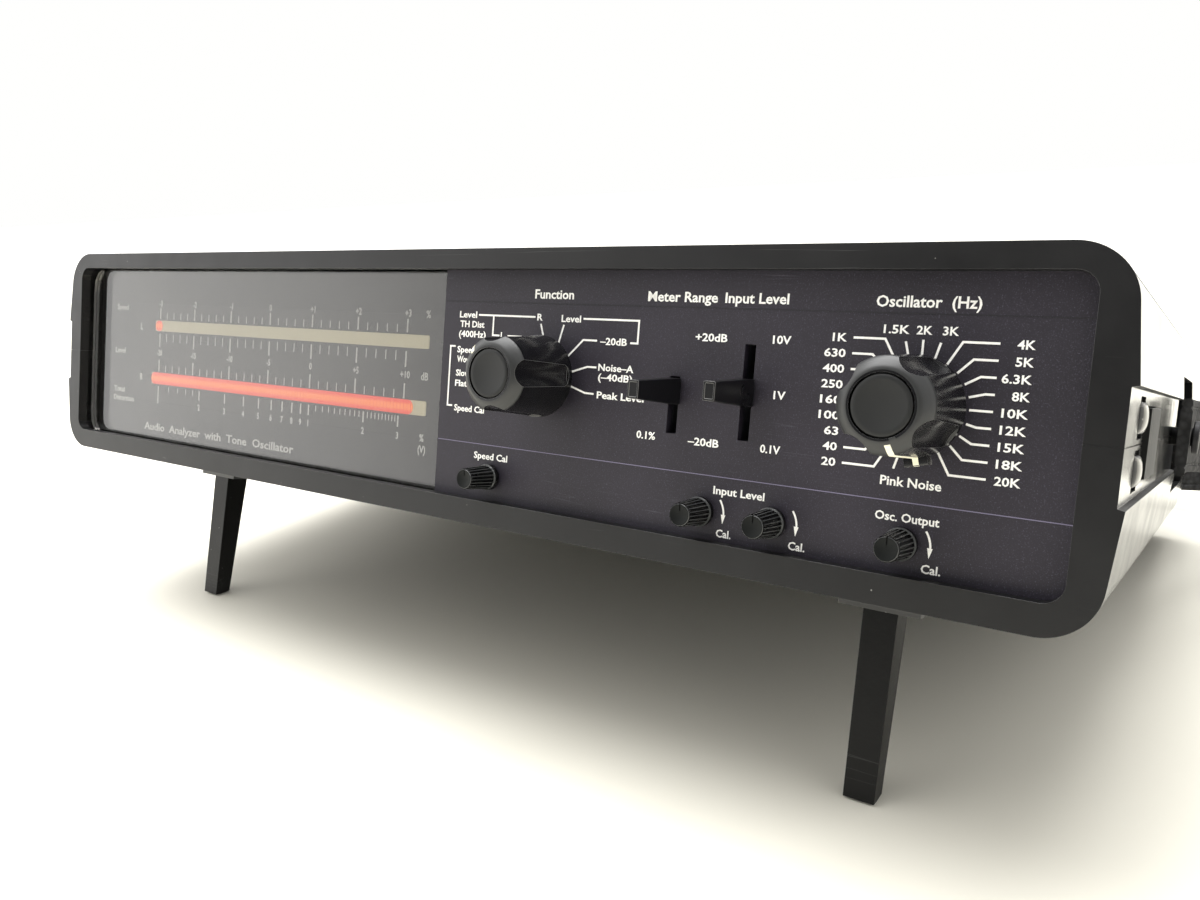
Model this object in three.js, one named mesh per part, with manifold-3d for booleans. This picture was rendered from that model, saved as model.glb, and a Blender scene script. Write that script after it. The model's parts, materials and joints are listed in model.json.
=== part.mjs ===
// Bench audio analyser with a built-in tone oscillator, as an assembly of separate pieces.
// Case frame, in millimetres: X runs to the right along the front, Y from the front face to the
// back, Z up from the parting line of the two case halves. The whole case then leans back on
// its front legs, so the exported group stands on Z = 0 with its middle over the origin.
import * as THREE from "three";
import { mergeVertices } from "three/addons/utils/BufferGeometryUtils.js";
import Module from "manifold-3d";

const wasm = await Module();
wasm.setup();

// ---------------------------------------------------------------- driving dimensions

const GAP = 0.3; // air between neighbouring pieces
const OVER = 1; // how far a cutting tool runs past the face it opens

const CASE = {
  halfWidth: 150, // at the parting line
  halfHeight: 30,
  depth: 205,
  draft: 0.1, // side walls lean in, per millimetre of height
  cornerRadius: 9.5,
  innerHalfWidth: 144.8,
  innerHalfHeight: 27.5,
  innerRadius: 8,
  lip: 2.7, // thickness of the frame round the front and rear openings
};

const FRONT_OPENING = { halfWidth: 142.5, bottom: -24.6, top: 25.7, radius: 3.5 };
const REAR_OPENING = { halfWidth: 134, halfHeight: 21, radius: 4 };

const GROOVE = { floor: 148, halfHeight: 8.9, mouthHalfHeight: 9.6, end: 129 };
const POCKET = { floor: 140, front: 128, back: 180, halfHeight: 15, wall: 2.5 };
const LATCH = { front: 30, back: 51, halfHeight: 6.5, depth: 1.7, plate: 2.4 };
// Two half-round lugs stand on the floor of each groove.
const LUG = { front: 18.5, back: 25, halfHeight: 2.6, middle: 4.4, rise: 1 };

const FRONT_PLATE = { halfWidth: 144.4, halfHeight: 26.5, cornerRadius: 8 }; // panel and window
const PANEL = { left: 9.95, front: 3, thickness: 2 };
const WINDOW = { right: 9.6, front: 4, thickness: 2.5 };
const TUBE = { left: -124, right: 7.5, bottom: -14, top: 16, front: 7.6, thickness: 6 };
const DISPLAY_BOARD = { left: -131, right: 9, halfHeight: 23.5, front: 14.6, thickness: 1.6 };
const MAIN_BOARD = { left: -62, right: 122, front: 42, back: 186, top: -20.4, thickness: 1.6 };
const TRANSFORMER = { x: -100, y: 146, width: 54, length: 46, core: 32, height: 38, coilInset: 5 };
const CAPACITOR = { x: -40, y: 150, radius: 9, height: 30 };
const BOARD_POST = { radius: 3.5, margin: 8 };
const BOARD_PROP = { width: 3, thickness: 3, top: -8 };

const DIAL_HEIGHT = 3.55; // both big knobs
const FUNCTION_X = 40.4;
const OSCILLATOR_X = 117.1;
const SHAFT_RADIUS = 3;
const BIG_KNOB = {
  front: -16,
  coneRadius: 5.4, // where the front cone starts
  shoulder: -14.1, // where the cone meets the side
  shoulderRadius: 7.65,
  back: 0,
  backRadius: 8.5,
  scallops: 4,
  scallopRadius: 4.6,
  scallopDistance: 10.65, // of the scallop's middle from the axis at the front
  scallopSpread: 0.1, // how much that grows for each millimetre towards the back
  scallopEnd: -0.9,
  tabReach: 9.75,
  tabWidth: 3.8,
  tabThickness: 2.4,
  capRadius: 4.7,
  capThickness: 1.6,
  shaftDepth: 5, // solid plastic in front of the shaft's end
};
const ROTARY_SWITCH = { bushingRadius: 4.8, bushingProud: 1.5, floor: 3 };
const FUNCTION_SWITCH = { radius: 13, length: 12, pointer: -49 }; // pointer in degrees clockwise from up
const OSCILLATOR_SWITCH = { radius: 15, length: 20, pointer: 166 };

const TRIM_HEIGHT = -19.4; // the row of small knobs
const TRIM_KNOB = { baseRadius: 2.85, faceRadius: 2.1, front: -5.6, boreDepth: 6 };
const TRIM_SHAFT_RADIUS = 1.2;
const TRIM_POT = { halfWidth: 5.5, halfTop: 4.5, depth: 7, floor: 2, bossRadius: 2.2 };
const TRIM_NAMES = { speed_cal: 26.4, input_left: 79, input_right: 93.5, osc_output: 116.9 };

const LEVER = { baseWidth: 3.1, baseHeight: 5.1, tipWidth: 2.3, tipHeight: 3.35, front: -12 };
const LEVER_STEM = { width: 1.3, height: 4.6, back: 9.5 };
const SWITCHES = {
  meter_range: { x: 71.05, slotBottom: -5.4, slotTop: 5.6, rest: 2.75 },
  input_level: { x: 86.3, slotBottom: -5.3, slotTop: 12.4, rest: 3.55 },
};
const SLOT_WIDTH = 2.15;
const SLIDE_BODY = { back: 14, halfWidth: 4, overhang: 6, clearance: 0.4 };

// The legs lean forward and narrow towards the sole.
const LEG = {
  x: 107.2,
  front: 28,
  width: 7,
  thickness: 7.2,
  pivot: -35.2,
  sole: -74,
  soleFront: 25.3,
  soleBack: 30.2,
  soleWidth: 6.3,
};
const LEG_BRACKET = {
  width: 16.4,
  front: 26.4,
  back: 76,
  bottom: -37,
  web: 0.9,
  frontWall: 1,
  rearWall: 2,
  pinWall: 0.4, // left outside the ends of the pin's hole
};
const LEG_PIN = { radius: 1.2, length: 15 };
const FOOT = { x: 107.2, y: 182, width: 16, length: 16, sole: -40 };

const STRAP = { width: 18.4, thickness: 2.6, pivotY: 116, rootX: 150.8 };
const STRAP_PIN = { radius: 2.2, headRadius: 4, headLength: 1.4, innerEnd: 140, overlap: 0.5 };
const STRAP_BOSS = { face: 140.8, halfLength: 7 }; // thickens the wall behind each strap pivot

const REAR_PANEL = { halfWidth: 138, halfHeight: 24, front: 199.6, thickness: 1.8 };
const INLET = {
  x: -104,
  width: 27,
  height: 19,
  depth: 22,
  wall: 2,
  flange: 33,
  flangeLip: 2,
  recess: 17,
};
const BLADE = { halfWidth: 1, halfHeight: 2, length: 11, places: [[-7, -2], [0, 2], [7, -2]] };
const ROCKER = { x: -60, width: 11, height: 17, swing: 11, pivotDepth: 3, play: 0.1 }; // swing in degrees
const ROCKER_FRAME = { wall: 1.5, depth: 18, cavity: 12, lip: 1.5, lipBack: 1.6, endPlay: 0.5 };
const FUSE = { x: -34, bodyRadius: 6, capRadius: 7, length: 26, rim: 1, rimBack: 2, capBack: 8 };
const COIN_SLOT = { halfLength: 4, halfWidth: 0.6, depth: 1 };
const JACKS = { input_jack_left: 44, input_jack_right: 62, output_jack_left: 88, output_jack_right: 106 };
const JACK = {
  height: 2,
  flangeRadius: 6.4,
  flangeBack: 1.8,
  barrelRadius: 4.1,
  socketRadius: 1.7,
  socketDepth: 2,
  root: 8,
  reach: 9,
};

const SCREW = { headRadius: 3, headLength: 2.2, shankRadius: 1.5, top: 12, recess: 3 };
const POSTS = {
  case_screw_front_left: [-138.5, 17],
  case_screw_front_right: [138.5, 17],
  case_screw_rear_left: [-130, 190],
  case_screw_rear_right: [130, 190],
};
const POST_RADIUS = 5;

const legMiddle = LEG.front + LEG.thickness / 2;
const benchSlope = (FOOT.sole - LEG.sole) / (FOOT.y - legMiddle);
const tilt = Math.atan(benchSlope);
const panelBack = PANEL.front + PANEL.thickness;

// ---------------------------------------------------------------- materials

const finish = (color, roughness, metalness = 0) =>
  new THREE.MeshStandardMaterial({ color, roughness, metalness });

const caseBlack = finish(0x252527, 0.45);
const panelPaint = finish(0x2e2b35, 0.6);
const smokedAcrylic = finish(0x5f605c, 0.08);
const tubeGlass = finish(0xe0603a, 0.15);
const boardGreen = finish(0x1f5a34, 0.5);
const knobBlack = finish(0x18181a, 0.25);
const capBlack = finish(0x0f0f11, 0.6);
const steel = finish(0xa8aaad, 0.3, 1);
const brass = finish(0xb89a4d, 0.3, 1);
const switchBody = finish(0x3b3f46, 0.5);
const anodised = finish(0x3a3a3d, 0.4, 0.8);
const strapVinyl = finish(0x121214, 0.7);
const rubber = finish(0x171717, 0.85);
const transformerIron = finish(0x8a6a3a, 0.5, 0.4);

// ---------------------------------------------------------------- solid tools

function toSolid(shape) {
  if (!shape.isBufferGeometry) return shape;
  const flat = shape.index ? shape.toNonIndexed() : shape;
  const bare = new THREE.BufferGeometry();
  bare.setAttribute("position", flat.getAttribute("position"));
  const merged = mergeVertices(bare, 1e-4);
  const mesh = new wasm.Mesh({
    numProp: 3,
    vertProperties: merged.attributes.position.array,
    triVerts: new Uint32Array(merged.index.array),
  });
  return new wasm.Manifold(mesh);
}

function toGeometry(solid) {
  const mesh = solid.getMesh();
  const geometry = new THREE.BufferGeometry();
  geometry.setAttribute("position", new THREE.BufferAttribute(mesh.vertProperties, 3));
  geometry.setIndex(new THREE.BufferAttribute(mesh.triVerts, 1));
  geometry.computeVertexNormals();
  return geometry;
}

const join = (...shapes) => shapes.map(toSolid).reduce((whole, piece) => whole.add(piece));
const cut = (base, ...tools) =>
  tools.map(toSolid).reduce((whole, tool) => whole.subtract(tool), toSolid(base));

// A box between two corners.
function block(low, high) {
  const size = high.map((value, axis) => value - low[axis]);
  const middle = high.map((value, axis) => (value + low[axis]) / 2);
  return new THREE.BoxGeometry(...size).translate(...middle);
}

// A round bar along Y at (x, z), from y0 to y1, with its own radius at each end.
function barY(x, z, y0, y1, radius, segments = 24, farRadius = radius) {
  const bar = new THREE.CylinderGeometry(farRadius, radius, y1 - y0, segments);
  return bar.translate(x, (y0 + y1) / 2, z);
}

function barZ(x, y, z0, z1, radius, segments = 16) {
  const bar = new THREE.CylinderGeometry(radius, radius, z1 - z0, segments);
  return bar.rotateX(Math.PI / 2).translate(x, y, (z0 + z1) / 2);
}

function barX(y, z, x0, x1, radius, segments = 20) {
  const bar = new THREE.CylinderGeometry(radius, radius, x1 - x0, segments);
  return bar.rotateZ(Math.PI / 2).translate((x0 + x1) / 2, y, z);
}

// A shape drawn in X and Z, stretched along Y from y0 to y1.
function prismY(shape, y0, y1, curveSegments = 6) {
  const options = { depth: y1 - y0, bevelEnabled: false, curveSegments };
  return new THREE.ExtrudeGeometry(shape, options).rotateX(Math.PI / 2).translate(0, y1, 0);
}

// A shape drawn in Y and Z, stretched along X from x0 to x1.
function prismX(shape, x0, x1, curveSegments = 8) {
  const options = { depth: x1 - x0, bevelEnabled: false, curveSegments };
  const turn = new THREE.Matrix4().makeBasis(
    new THREE.Vector3(0, 1, 0),
    new THREE.Vector3(0, 0, 1),
    new THREE.Vector3(1, 0, 0),
  );
  return new THREE.ExtrudeGeometry(shape, options).applyMatrix4(turn).translate(x0, 0, 0);
}

// A closed outline through corner points, each rounded by the same radius.
function roundedShape(corners, radius) {
  const points = corners.map(([x, y]) => new THREE.Vector2(x, y));
  const shape = new THREE.Shape();
  points.forEach((corner, i) => {
    const before = points[(i + points.length - 1) % points.length];
    const after = points[(i + 1) % points.length];
    const start = corner.clone().add(before.clone().sub(corner).setLength(radius));
    const end = corner.clone().add(after.clone().sub(corner).setLength(radius));
    if (i === 0) shape.moveTo(start.x, start.y);
    else shape.lineTo(start.x, start.y);
    shape.quadraticCurveTo(corner.x, corner.y, end.x, end.y);
  });
  shape.closePath();
  return shape;
}

const roundedRectangle = (left, bottom, right, top, radius) =>
  roundedShape([[left, bottom], [right, bottom], [right, top], [left, top]], radius);

const polygon = (points) => new THREE.Shape(points.map(([x, y]) => new THREE.Vector2(x, y)));

// ---------------------------------------------------------------- assembly

const caseGroup = new THREE.Group();
caseGroup.rotation.x = -tilt;

function add(name, shape, material) {
  const geometry = shape.isBufferGeometry ? shape : toGeometry(shape);
  const mesh = new THREE.Mesh(geometry, material);
  mesh.name = name;
  caseGroup.add(mesh);
}

const sides = { left: -1, right: 1 };

// ---------------------------------------------------------------- case halves

function caseTube() {
  const { halfWidth, halfHeight, depth, draft, cornerRadius, lip } = CASE;
  const lean = Math.atan(draft);
  const centreZ = halfHeight - cornerRadius;
  const centreX = halfWidth - draft * centreZ - cornerRadius / Math.cos(lean);
  const outline = new THREE.Shape();
  outline.moveTo(halfWidth, 0);
  outline.absarc(centreX, centreZ, cornerRadius, lean, Math.PI / 2);
  outline.absarc(-centreX, centreZ, cornerRadius, Math.PI / 2, Math.PI - lean);
  outline.lineTo(-halfWidth, 0);
  outline.absarc(-centreX, -centreZ, cornerRadius, Math.PI + lean, Math.PI * 1.5);
  outline.absarc(centreX, -centreZ, cornerRadius, -Math.PI / 2, -lean);
  const inner = roundedRectangle(
    -CASE.innerHalfWidth,
    -CASE.innerHalfHeight,
    CASE.innerHalfWidth,
    CASE.innerHalfHeight,
    CASE.innerRadius,
  );
  const front = FRONT_OPENING;
  const frontHole = roundedRectangle(
    -front.halfWidth, front.bottom, front.halfWidth, front.top, front.radius);
  const rear = REAR_OPENING;
  const rearHole = roundedRectangle(
    -rear.halfWidth, -rear.halfHeight, rear.halfWidth, rear.halfHeight, rear.radius);
  return cut(
    prismY(outline, 0, depth),
    prismY(inner, lip, depth - lip),
    prismY(frontHole, -OVER, lip + OVER),
    prismY(rearHole, depth - lip - OVER, depth + OVER),
  );
}

// The strap groove, the pocket at its back end and the latch recess, on one side.
function sideFeatures(side) {
  const outside = CASE.halfWidth + OVER;
  const mirror = (x0, x1) => (side > 0 ? [x0, x1] : [-x1, -x0]);
  const sideBlock = (x0, x1, y0, y1, halfHeight) => {
    const [low, high] = mirror(x0, x1);
    return block([low, y0, -halfHeight], [high, y1, halfHeight]);
  };
  const grooveShape = polygon([
    [side * GROOVE.floor, -GROOVE.halfHeight],
    [side * outside, -GROOVE.mouthHalfHeight],
    [side * outside, GROOVE.mouthHalfHeight],
    [side * GROOVE.floor, GROOVE.halfHeight],
  ]);
  const groove = prismY(grooveShape, -OVER, GROOVE.end);
  const box = POCKET;
  const pocketWall = sideBlock(
    box.floor - box.wall, CASE.innerHalfWidth + OVER,
    box.front - box.wall, box.back + box.wall, box.halfHeight + box.wall);
  const pocket = sideBlock(box.floor, outside, box.front, box.back, box.halfHeight);
  const boss = STRAP_BOSS;
  const strapBoss = sideBlock(
    boss.face, CASE.innerHalfWidth + OVER,
    STRAP.pivotY - boss.halfLength, STRAP.pivotY + boss.halfLength, boss.halfLength);
  const [boreLow, boreHigh] = mirror(boss.face - OVER, GROOVE.floor + OVER);
  const strapBore = barX(STRAP.pivotY, 0, boreLow, boreHigh, STRAP_PIN.radius + GAP);
  const latchFloor = GROOVE.floor - LATCH.depth;
  const latch = sideBlock(
    latchFloor, GROOVE.floor + OVER, LATCH.front, LATCH.back, LATCH.halfHeight);
  const lugs = [-1, 1].map((end) => {
    const root = side * (GROOVE.floor - OVER);
    const outline = new THREE.Shape();
    outline.absellipse(
      side * GROOVE.floor, end * LUG.middle, LUG.rise, LUG.halfHeight,
      -Math.PI / 2, Math.PI / 2, side < 0);
    outline.lineTo(root, end * LUG.middle + LUG.halfHeight);
    outline.lineTo(root, end * LUG.middle - LUG.halfHeight);
    return prismY(outline, LUG.front, LUG.back, 10);
  });
  return { groove, pocketWall, pocket, strapBoss, strapBore, latch, lugs };
}

function buildCase() {
  const right = sideFeatures(1);
  const left = sideFeatures(-1);
  let shell = toSolid(caseTube());
  for (const side of [left, right]) {
    shell = join(shell, side.pocketWall, side.strapBoss);
    shell = cut(shell, side.groove, side.pocket, side.strapBore, side.latch);
    shell = join(shell, ...side.lugs);
  }
  const wide = CASE.halfWidth * 2;
  const tall = CASE.halfHeight * 2;
  const seam = GAP / 2;
  const above = block([-wide, -wide, seam], [wide, wide * 2, tall]);
  const below = block([-wide, -wide, -tall], [wide, wide * 2, -seam]);
  let top = shell.intersect(toSolid(above));
  let bottom = shell.intersect(toSolid(below));
  const inner = CASE.innerHalfHeight + OVER / 2;
  for (const [x, y] of Object.values(POSTS)) {
    const clearance = SCREW.shankRadius + GAP;
    const head = SCREW.headRadius + GAP;
    top = join(top, barZ(x, y, seam, inner, POST_RADIUS));
    top = cut(top, barZ(x, y, -OVER, SCREW.top + OVER, clearance));
    bottom = join(bottom, barZ(x, y, -inner, -seam, POST_RADIUS));
    bottom = cut(
      bottom,
      barZ(x, y, -CASE.halfHeight - OVER, OVER, clearance),
      barZ(x, y, -CASE.halfHeight - OVER, -CASE.halfHeight + SCREW.recess, head),
    );
  }
  const boardUnder = MAIN_BOARD.top - MAIN_BOARD.thickness - GAP;
  const margin = BOARD_POST.margin;
  for (const x of [MAIN_BOARD.left + margin, MAIN_BOARD.right - margin])
    for (const y of [MAIN_BOARD.front + margin, MAIN_BOARD.back - margin])
      bottom = join(bottom, barZ(x, y, -inner, boardUnder, BOARD_POST.radius, 12));
  const board = DISPLAY_BOARD;
  const boardBack = board.front + board.thickness + GAP;
  const propHalf = BOARD_PROP.width / 2;
  for (const x of [board.left + margin, board.right - margin]) {
    const prop = block(
      [x - propHalf, boardBack, -inner],
      [x + propHalf, boardBack + BOARD_PROP.thickness, BOARD_PROP.top],
    );
    bottom = join(bottom, prop);
  }
  add("case_top", top, caseBlack);
  add("case_bottom", bottom, caseBlack);
}

function buildLatchPlates() {
  for (const [name, side] of Object.entries(sides)) {
    const floor = GROOVE.floor - LATCH.depth + GAP;
    const low = side > 0 ? floor : -floor - LATCH.plate;
    const plate = block(
      [low, LATCH.front + GAP, -LATCH.halfHeight + GAP],
      [low + LATCH.plate, LATCH.back - GAP, LATCH.halfHeight - GAP],
    );
    add("latch_plate_" + name, plate, steel);
  }
}

function buildCaseScrews() {
  const bottom = -CASE.halfHeight + SCREW.recess - GAP - SCREW.headLength;
  for (const [name, [x, y]] of Object.entries(POSTS)) {
    const screw = join(
      barZ(x, y, bottom, bottom + SCREW.headLength, SCREW.headRadius),
      barZ(x, y, bottom + OVER, SCREW.top, SCREW.shankRadius, 10),
    );
    add(name, screw, steel);
  }
}

// ---------------------------------------------------------------- front panel and display

function buildFront() {
  const bushingHole = ROTARY_SWITCH.bushingRadius + GAP;
  const trimHole = TRIM_POT.bossRadius + GAP;
  const { halfWidth, halfHeight, cornerRadius } = FRONT_PLATE;
  const outline = roundedRectangle(-halfWidth, -halfHeight, halfWidth, halfHeight, cornerRadius);
  const plateBetween = (x0, x1, y0, y1) =>
    toSolid(prismY(outline, y0, y1)).intersect(
      toSolid(block([x0, y0 - OVER, -halfWidth], [x1, y1 + OVER, halfWidth])),
    );
  let plate = plateBetween(PANEL.left, halfWidth + OVER, PANEL.front, panelBack);
  for (const x of [FUNCTION_X, OSCILLATOR_X])
    plate = cut(plate, barY(x, DIAL_HEIGHT, 0, panelBack + OVER, bushingHole));
  for (const x of Object.values(TRIM_NAMES))
    plate = cut(plate, barY(x, TRIM_HEIGHT, 0, panelBack + OVER, trimHole, 16));
  for (const { x, slotBottom, slotTop } of Object.values(SWITCHES)) {
    const half = SLOT_WIDTH / 2;
    plate = cut(plate, block([x - half, 0, slotBottom], [x + half, panelBack + OVER, slotTop]));
  }
  add("front_panel", plate, panelPaint);

  const windowBack = WINDOW.front + WINDOW.thickness;
  add(
    "display_window",
    plateBetween(-halfWidth - OVER, WINDOW.right, WINDOW.front, windowBack),
    smokedAcrylic,
  );

  const tube = TUBE;
  add(
    "bar_graph_tube",
    block([tube.left, tube.front, tube.bottom], [tube.right, tube.front + tube.thickness, tube.top]),
    tubeGlass,
  );

  const board = DISPLAY_BOARD;
  add(
    "display_board",
    block(
      [board.left, board.front, -board.halfHeight],
      [board.right, board.front + board.thickness, board.halfHeight],
    ),
    boardGreen,
  );
}

// ---------------------------------------------------------------- big knobs

// A cutter for one scallop: a round bar that moves away from the knob's axis towards the back.
function scallop(x, z, angle) {
  const knob = BIG_KNOB;
  const start = knob.front - OVER;
  const bar = barY(0, knob.scallopDistance, start, knob.scallopEnd, knob.scallopRadius, 32);
  const spread = new THREE.Matrix4().makeShear(0, 0, 0, knob.scallopSpread, 0, 0);
  bar.applyMatrix4(spread).translate(0, 0, -start * knob.scallopSpread);
  return bar.rotateY(angle).translate(x, 0, z);
}

function buildDial(name, x, { radius, length, pointer }) {
  const z = DIAL_HEIGHT;
  const knob = BIG_KNOB;
  const shaftFront = knob.front + knob.shaftDepth;
  const bodyFront = panelBack + GAP;
  const shaftBore = bodyFront + length - ROTARY_SWITCH.floor;
  const switchShape = cut(
    join(
      barY(x, z, bodyFront, bodyFront + length, radius),
      barY(x, z, PANEL.front - ROTARY_SWITCH.bushingProud, bodyFront + OVER, ROTARY_SWITCH.bushingRadius),
    ),
    barY(x, z, 0, shaftBore, SHAFT_RADIUS + GAP),
  );
  add(name + "_switch", switchShape, switchBody);
  add(name + "_shaft", barY(x, z, shaftFront, shaftBore - GAP, SHAFT_RADIUS), brass);

  const angle = THREE.MathUtils.degToRad(pointer);
  const tab = block(
    [-knob.tabWidth / 2, knob.back - knob.tabThickness, 0],
    [knob.tabWidth / 2, knob.back, knob.tabReach],
  );
  let body = join(
    barY(x, z, knob.front, knob.shoulder, knob.coneRadius, 32, knob.shoulderRadius),
    barY(x, z, knob.shoulder, knob.back, knob.shoulderRadius, 32, knob.backRadius),
    tab.rotateY(angle).translate(x, 0, z),
  );
  for (let i = 0; i < knob.scallops; i += 1) {
    const turn = angle + ((i + 0.5) * 2 * Math.PI) / knob.scallops;
    body = cut(body, scallop(x, z, turn));
  }
  body = cut(
    body,
    barY(x, z, knob.front - OVER, knob.front + knob.capThickness + GAP, knob.capRadius + GAP),
    barY(x, z, shaftFront - GAP, PANEL.front, SHAFT_RADIUS + GAP),
  );
  add(name + "_knob", body, knobBlack);
  add(
    name + "_knob_cap",
    barY(x, z, knob.front, knob.front + knob.capThickness, knob.capRadius),
    capBlack,
  );
}

// ---------------------------------------------------------------- small knobs

function buildTrimmer(name, x) {
  const z = TRIM_HEIGHT;
  const knob = TRIM_KNOB;
  const bodyFront = panelBack + GAP;
  const bodyBack = bodyFront + TRIM_POT.depth;
  const half = TRIM_POT.halfWidth;
  const bore = TRIM_SHAFT_RADIUS + GAP;
  const boreEnd = bodyBack - TRIM_POT.floor;
  const body = cut(
    join(
      block([x - half, bodyFront, z - half], [x + half, bodyBack, z + TRIM_POT.halfTop]),
      barY(x, z, PANEL.front, bodyFront + OVER, TRIM_POT.bossRadius, 16),
    ),
    barY(x, z, 0, boreEnd, bore, 12),
  );
  add(name + "_pot", body, switchBody);
  const shaftFront = PANEL.front - knob.boreDepth;
  add(name + "_shaft", barY(x, z, shaftFront, boreEnd - GAP, TRIM_SHAFT_RADIUS, 12), brass);
  const grip = cut(
    barY(x, z, knob.front, PANEL.front - GAP, knob.faceRadius, 16, knob.baseRadius),
    barY(x, z, shaftFront - GAP, PANEL.front, bore, 12),
  );
  add(name + "_knob", grip, knobBlack);
}

// ---------------------------------------------------------------- slide switches

// A four-sided cap that narrows from the panel to its tip.
function taperedCap(x, z) {
  const back = PANEL.front - GAP;
  const length = back - LEVER.front;
  const half = Math.SQRT1_2; // corner radius of a unit square
  const cap = new THREE.CylinderGeometry(half, half, length, 4, 1);
  cap.rotateY(Math.PI / 4);
  const position = cap.getAttribute("position");
  for (let i = 0; i < position.count; i += 1) {
    const atBack = position.getY(i) > 0;
    const width = atBack ? LEVER.baseWidth : LEVER.tipWidth;
    const height = atBack ? LEVER.baseHeight : LEVER.tipHeight;
    position.setX(i, Math.sign(Math.round(position.getX(i) * 2)) * (width / 2));
    position.setZ(i, Math.sign(Math.round(position.getZ(i) * 2)) * (height / 2));
  }
  return cap.translate(x, (back + LEVER.front) / 2, z);
}

function buildSlideSwitch(name, { x, slotBottom, slotTop, rest }) {
  const bodyFront = panelBack + GAP;
  const half = SLIDE_BODY.halfWidth;
  const overhang = SLIDE_BODY.overhang;
  const channel = SLOT_WIDTH / 2 + SLIDE_BODY.clearance;
  const stemHalf = LEVER_STEM.width / 2;
  const stemTall = LEVER_STEM.height / 2;
  const body = cut(
    block(
      [x - half, bodyFront, slotBottom - overhang],
      [x + half, SLIDE_BODY.back, slotTop + overhang],
    ),
    block([x - channel, 0, slotBottom], [x + channel, LEVER_STEM.back + OVER, slotTop]),
  );
  add(name + "_switch", body, switchBody);
  const lever = join(
    taperedCap(x, rest),
    block(
      [x - stemHalf, PANEL.front - 2, rest - stemTall],
      [x + stemHalf, LEVER_STEM.back, rest + stemTall],
    ),
  );
  add(name + "_lever", lever, knobBlack);
}

// ---------------------------------------------------------------- legs and feet

function buildLeg(name, side) {
  const x = side * LEG.x;
  const half = LEG.width / 2;
  const radius = LEG.thickness / 2;
  const outline = new THREE.Shape();
  const soleAt = (y) => LEG.sole + (y - legMiddle) * benchSlope;
  outline.moveTo(legMiddle + radius, LEG.pivot);
  outline.absarc(legMiddle, LEG.pivot, radius, 0, Math.PI);
  outline.lineTo(LEG.soleFront, soleAt(LEG.soleFront));
  outline.lineTo(LEG.soleBack, soleAt(LEG.soleBack));
  const pinHole = LEG_PIN.radius + GAP;
  const deep = LEG.front + LEG.thickness;
  const narrowing = prismY(
    polygon([
      [x - half, LEG.pivot + radius + OVER],
      [x - half, LEG.pivot],
      [x - LEG.soleWidth / 2, LEG.sole - OVER],
      [x + LEG.soleWidth / 2, LEG.sole - OVER],
      [x + half, LEG.pivot],
      [x + half, LEG.pivot + radius + OVER],
    ]),
    LEG.soleFront - OVER,
    deep + OVER,
  );
  const leg = cut(
    toSolid(prismX(outline, x - half, x + half)).intersect(toSolid(narrowing)),
    barX(legMiddle, LEG.pivot, x - half - OVER, x + half + OVER, pinHole, 16),
  );
  add("leg_" + name, leg, caseBlack);

  const bracket = LEG_BRACKET;
  const top = -CASE.halfHeight - GAP;
  const outer = bracket.width / 2;
  const channel = half + GAP;
  const housing = cut(
    block([x - outer, bracket.front, bracket.bottom], [x + outer, bracket.back, top]),
    block(
      [x - channel, bracket.front + bracket.frontWall, bracket.bottom - OVER],
      [x + channel, bracket.back - bracket.rearWall, top - bracket.web],
    ),
    barX(legMiddle, LEG.pivot, x - outer + bracket.pinWall, x + outer - bracket.pinWall, pinHole, 16),
  );
  add("leg_bracket_" + name, housing, caseBlack);
  const pinHalf = LEG_PIN.length / 2;
  add(
    "leg_pin_" + name,
    barX(legMiddle, LEG.pivot, x - pinHalf, x + pinHalf, LEG_PIN.radius, 16),
    steel,
  );
}

function buildFoot(name, side) {
  const x = side * FOOT.x;
  const half = FOOT.width / 2;
  const reach = FOOT.length / 2;
  const top = -CASE.halfHeight - GAP;
  const outline = polygon([
    [FOOT.y - reach, FOOT.sole - reach * benchSlope],
    [FOOT.y + reach, FOOT.sole + reach * benchSlope],
    [FOOT.y + reach, top],
    [FOOT.y - reach, top],
  ]);
  add("rear_foot_" + name, prismX(outline, x - half, x + half), rubber);
}

// ---------------------------------------------------------------- carrying strap

// Half of the strap's middle line, from the pivot on one side to behind the case.
const strapHalf = [
  [STRAP.rootX, 107, 0],
  [STRAP.rootX, 126, 0],
  [153, 139, -0.3],
  [158.5, 155, -1.2],
  [164, 174, -3],
  [165.5, 198, -6],
  [158, 220, -10],
  [136, 237, -12.9],
  [92, 246, -14.2],
  [40, 248.5, -14.7],
];

// A flat band standing on edge along a curve.
function standingBand(curve, steps, width, thickness) {
  const vertices = [];
  const triangles = [];
  const point = new THREE.Vector3();
  const tangent = new THREE.Vector3();
  for (let i = 0; i <= steps; i += 1) {
    curve.getPointAt(i / steps, point);
    curve.getTangentAt(i / steps, tangent);
    const across = new THREE.Vector3(tangent.y, -tangent.x, 0).setLength(thickness / 2);
    for (const [outward, up] of [[1, -1], [1, 1], [-1, 1], [-1, -1]])
      vertices.push(
        point.x + across.x * outward,
        point.y + across.y * outward,
        point.z + (up * width) / 2,
      );
  }
  const quad = (a, b, c, d) => triangles.push(a, b, c, a, c, d);
  for (let i = 0; i < steps; i += 1)
    for (let k = 0; k < 4; k += 1) {
      const next = (k + 1) % 4;
      quad(i * 4 + k, i * 4 + 4 + k, i * 4 + 4 + next, i * 4 + next);
    }
  quad(0, 1, 2, 3);
  const last = steps * 4;
  quad(last + 3, last + 2, last + 1, last);
  const band = new THREE.BufferGeometry();
  band.setAttribute("position", new THREE.Float32BufferAttribute(vertices, 3));
  band.setIndex(triangles);
  return band;
}

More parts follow.
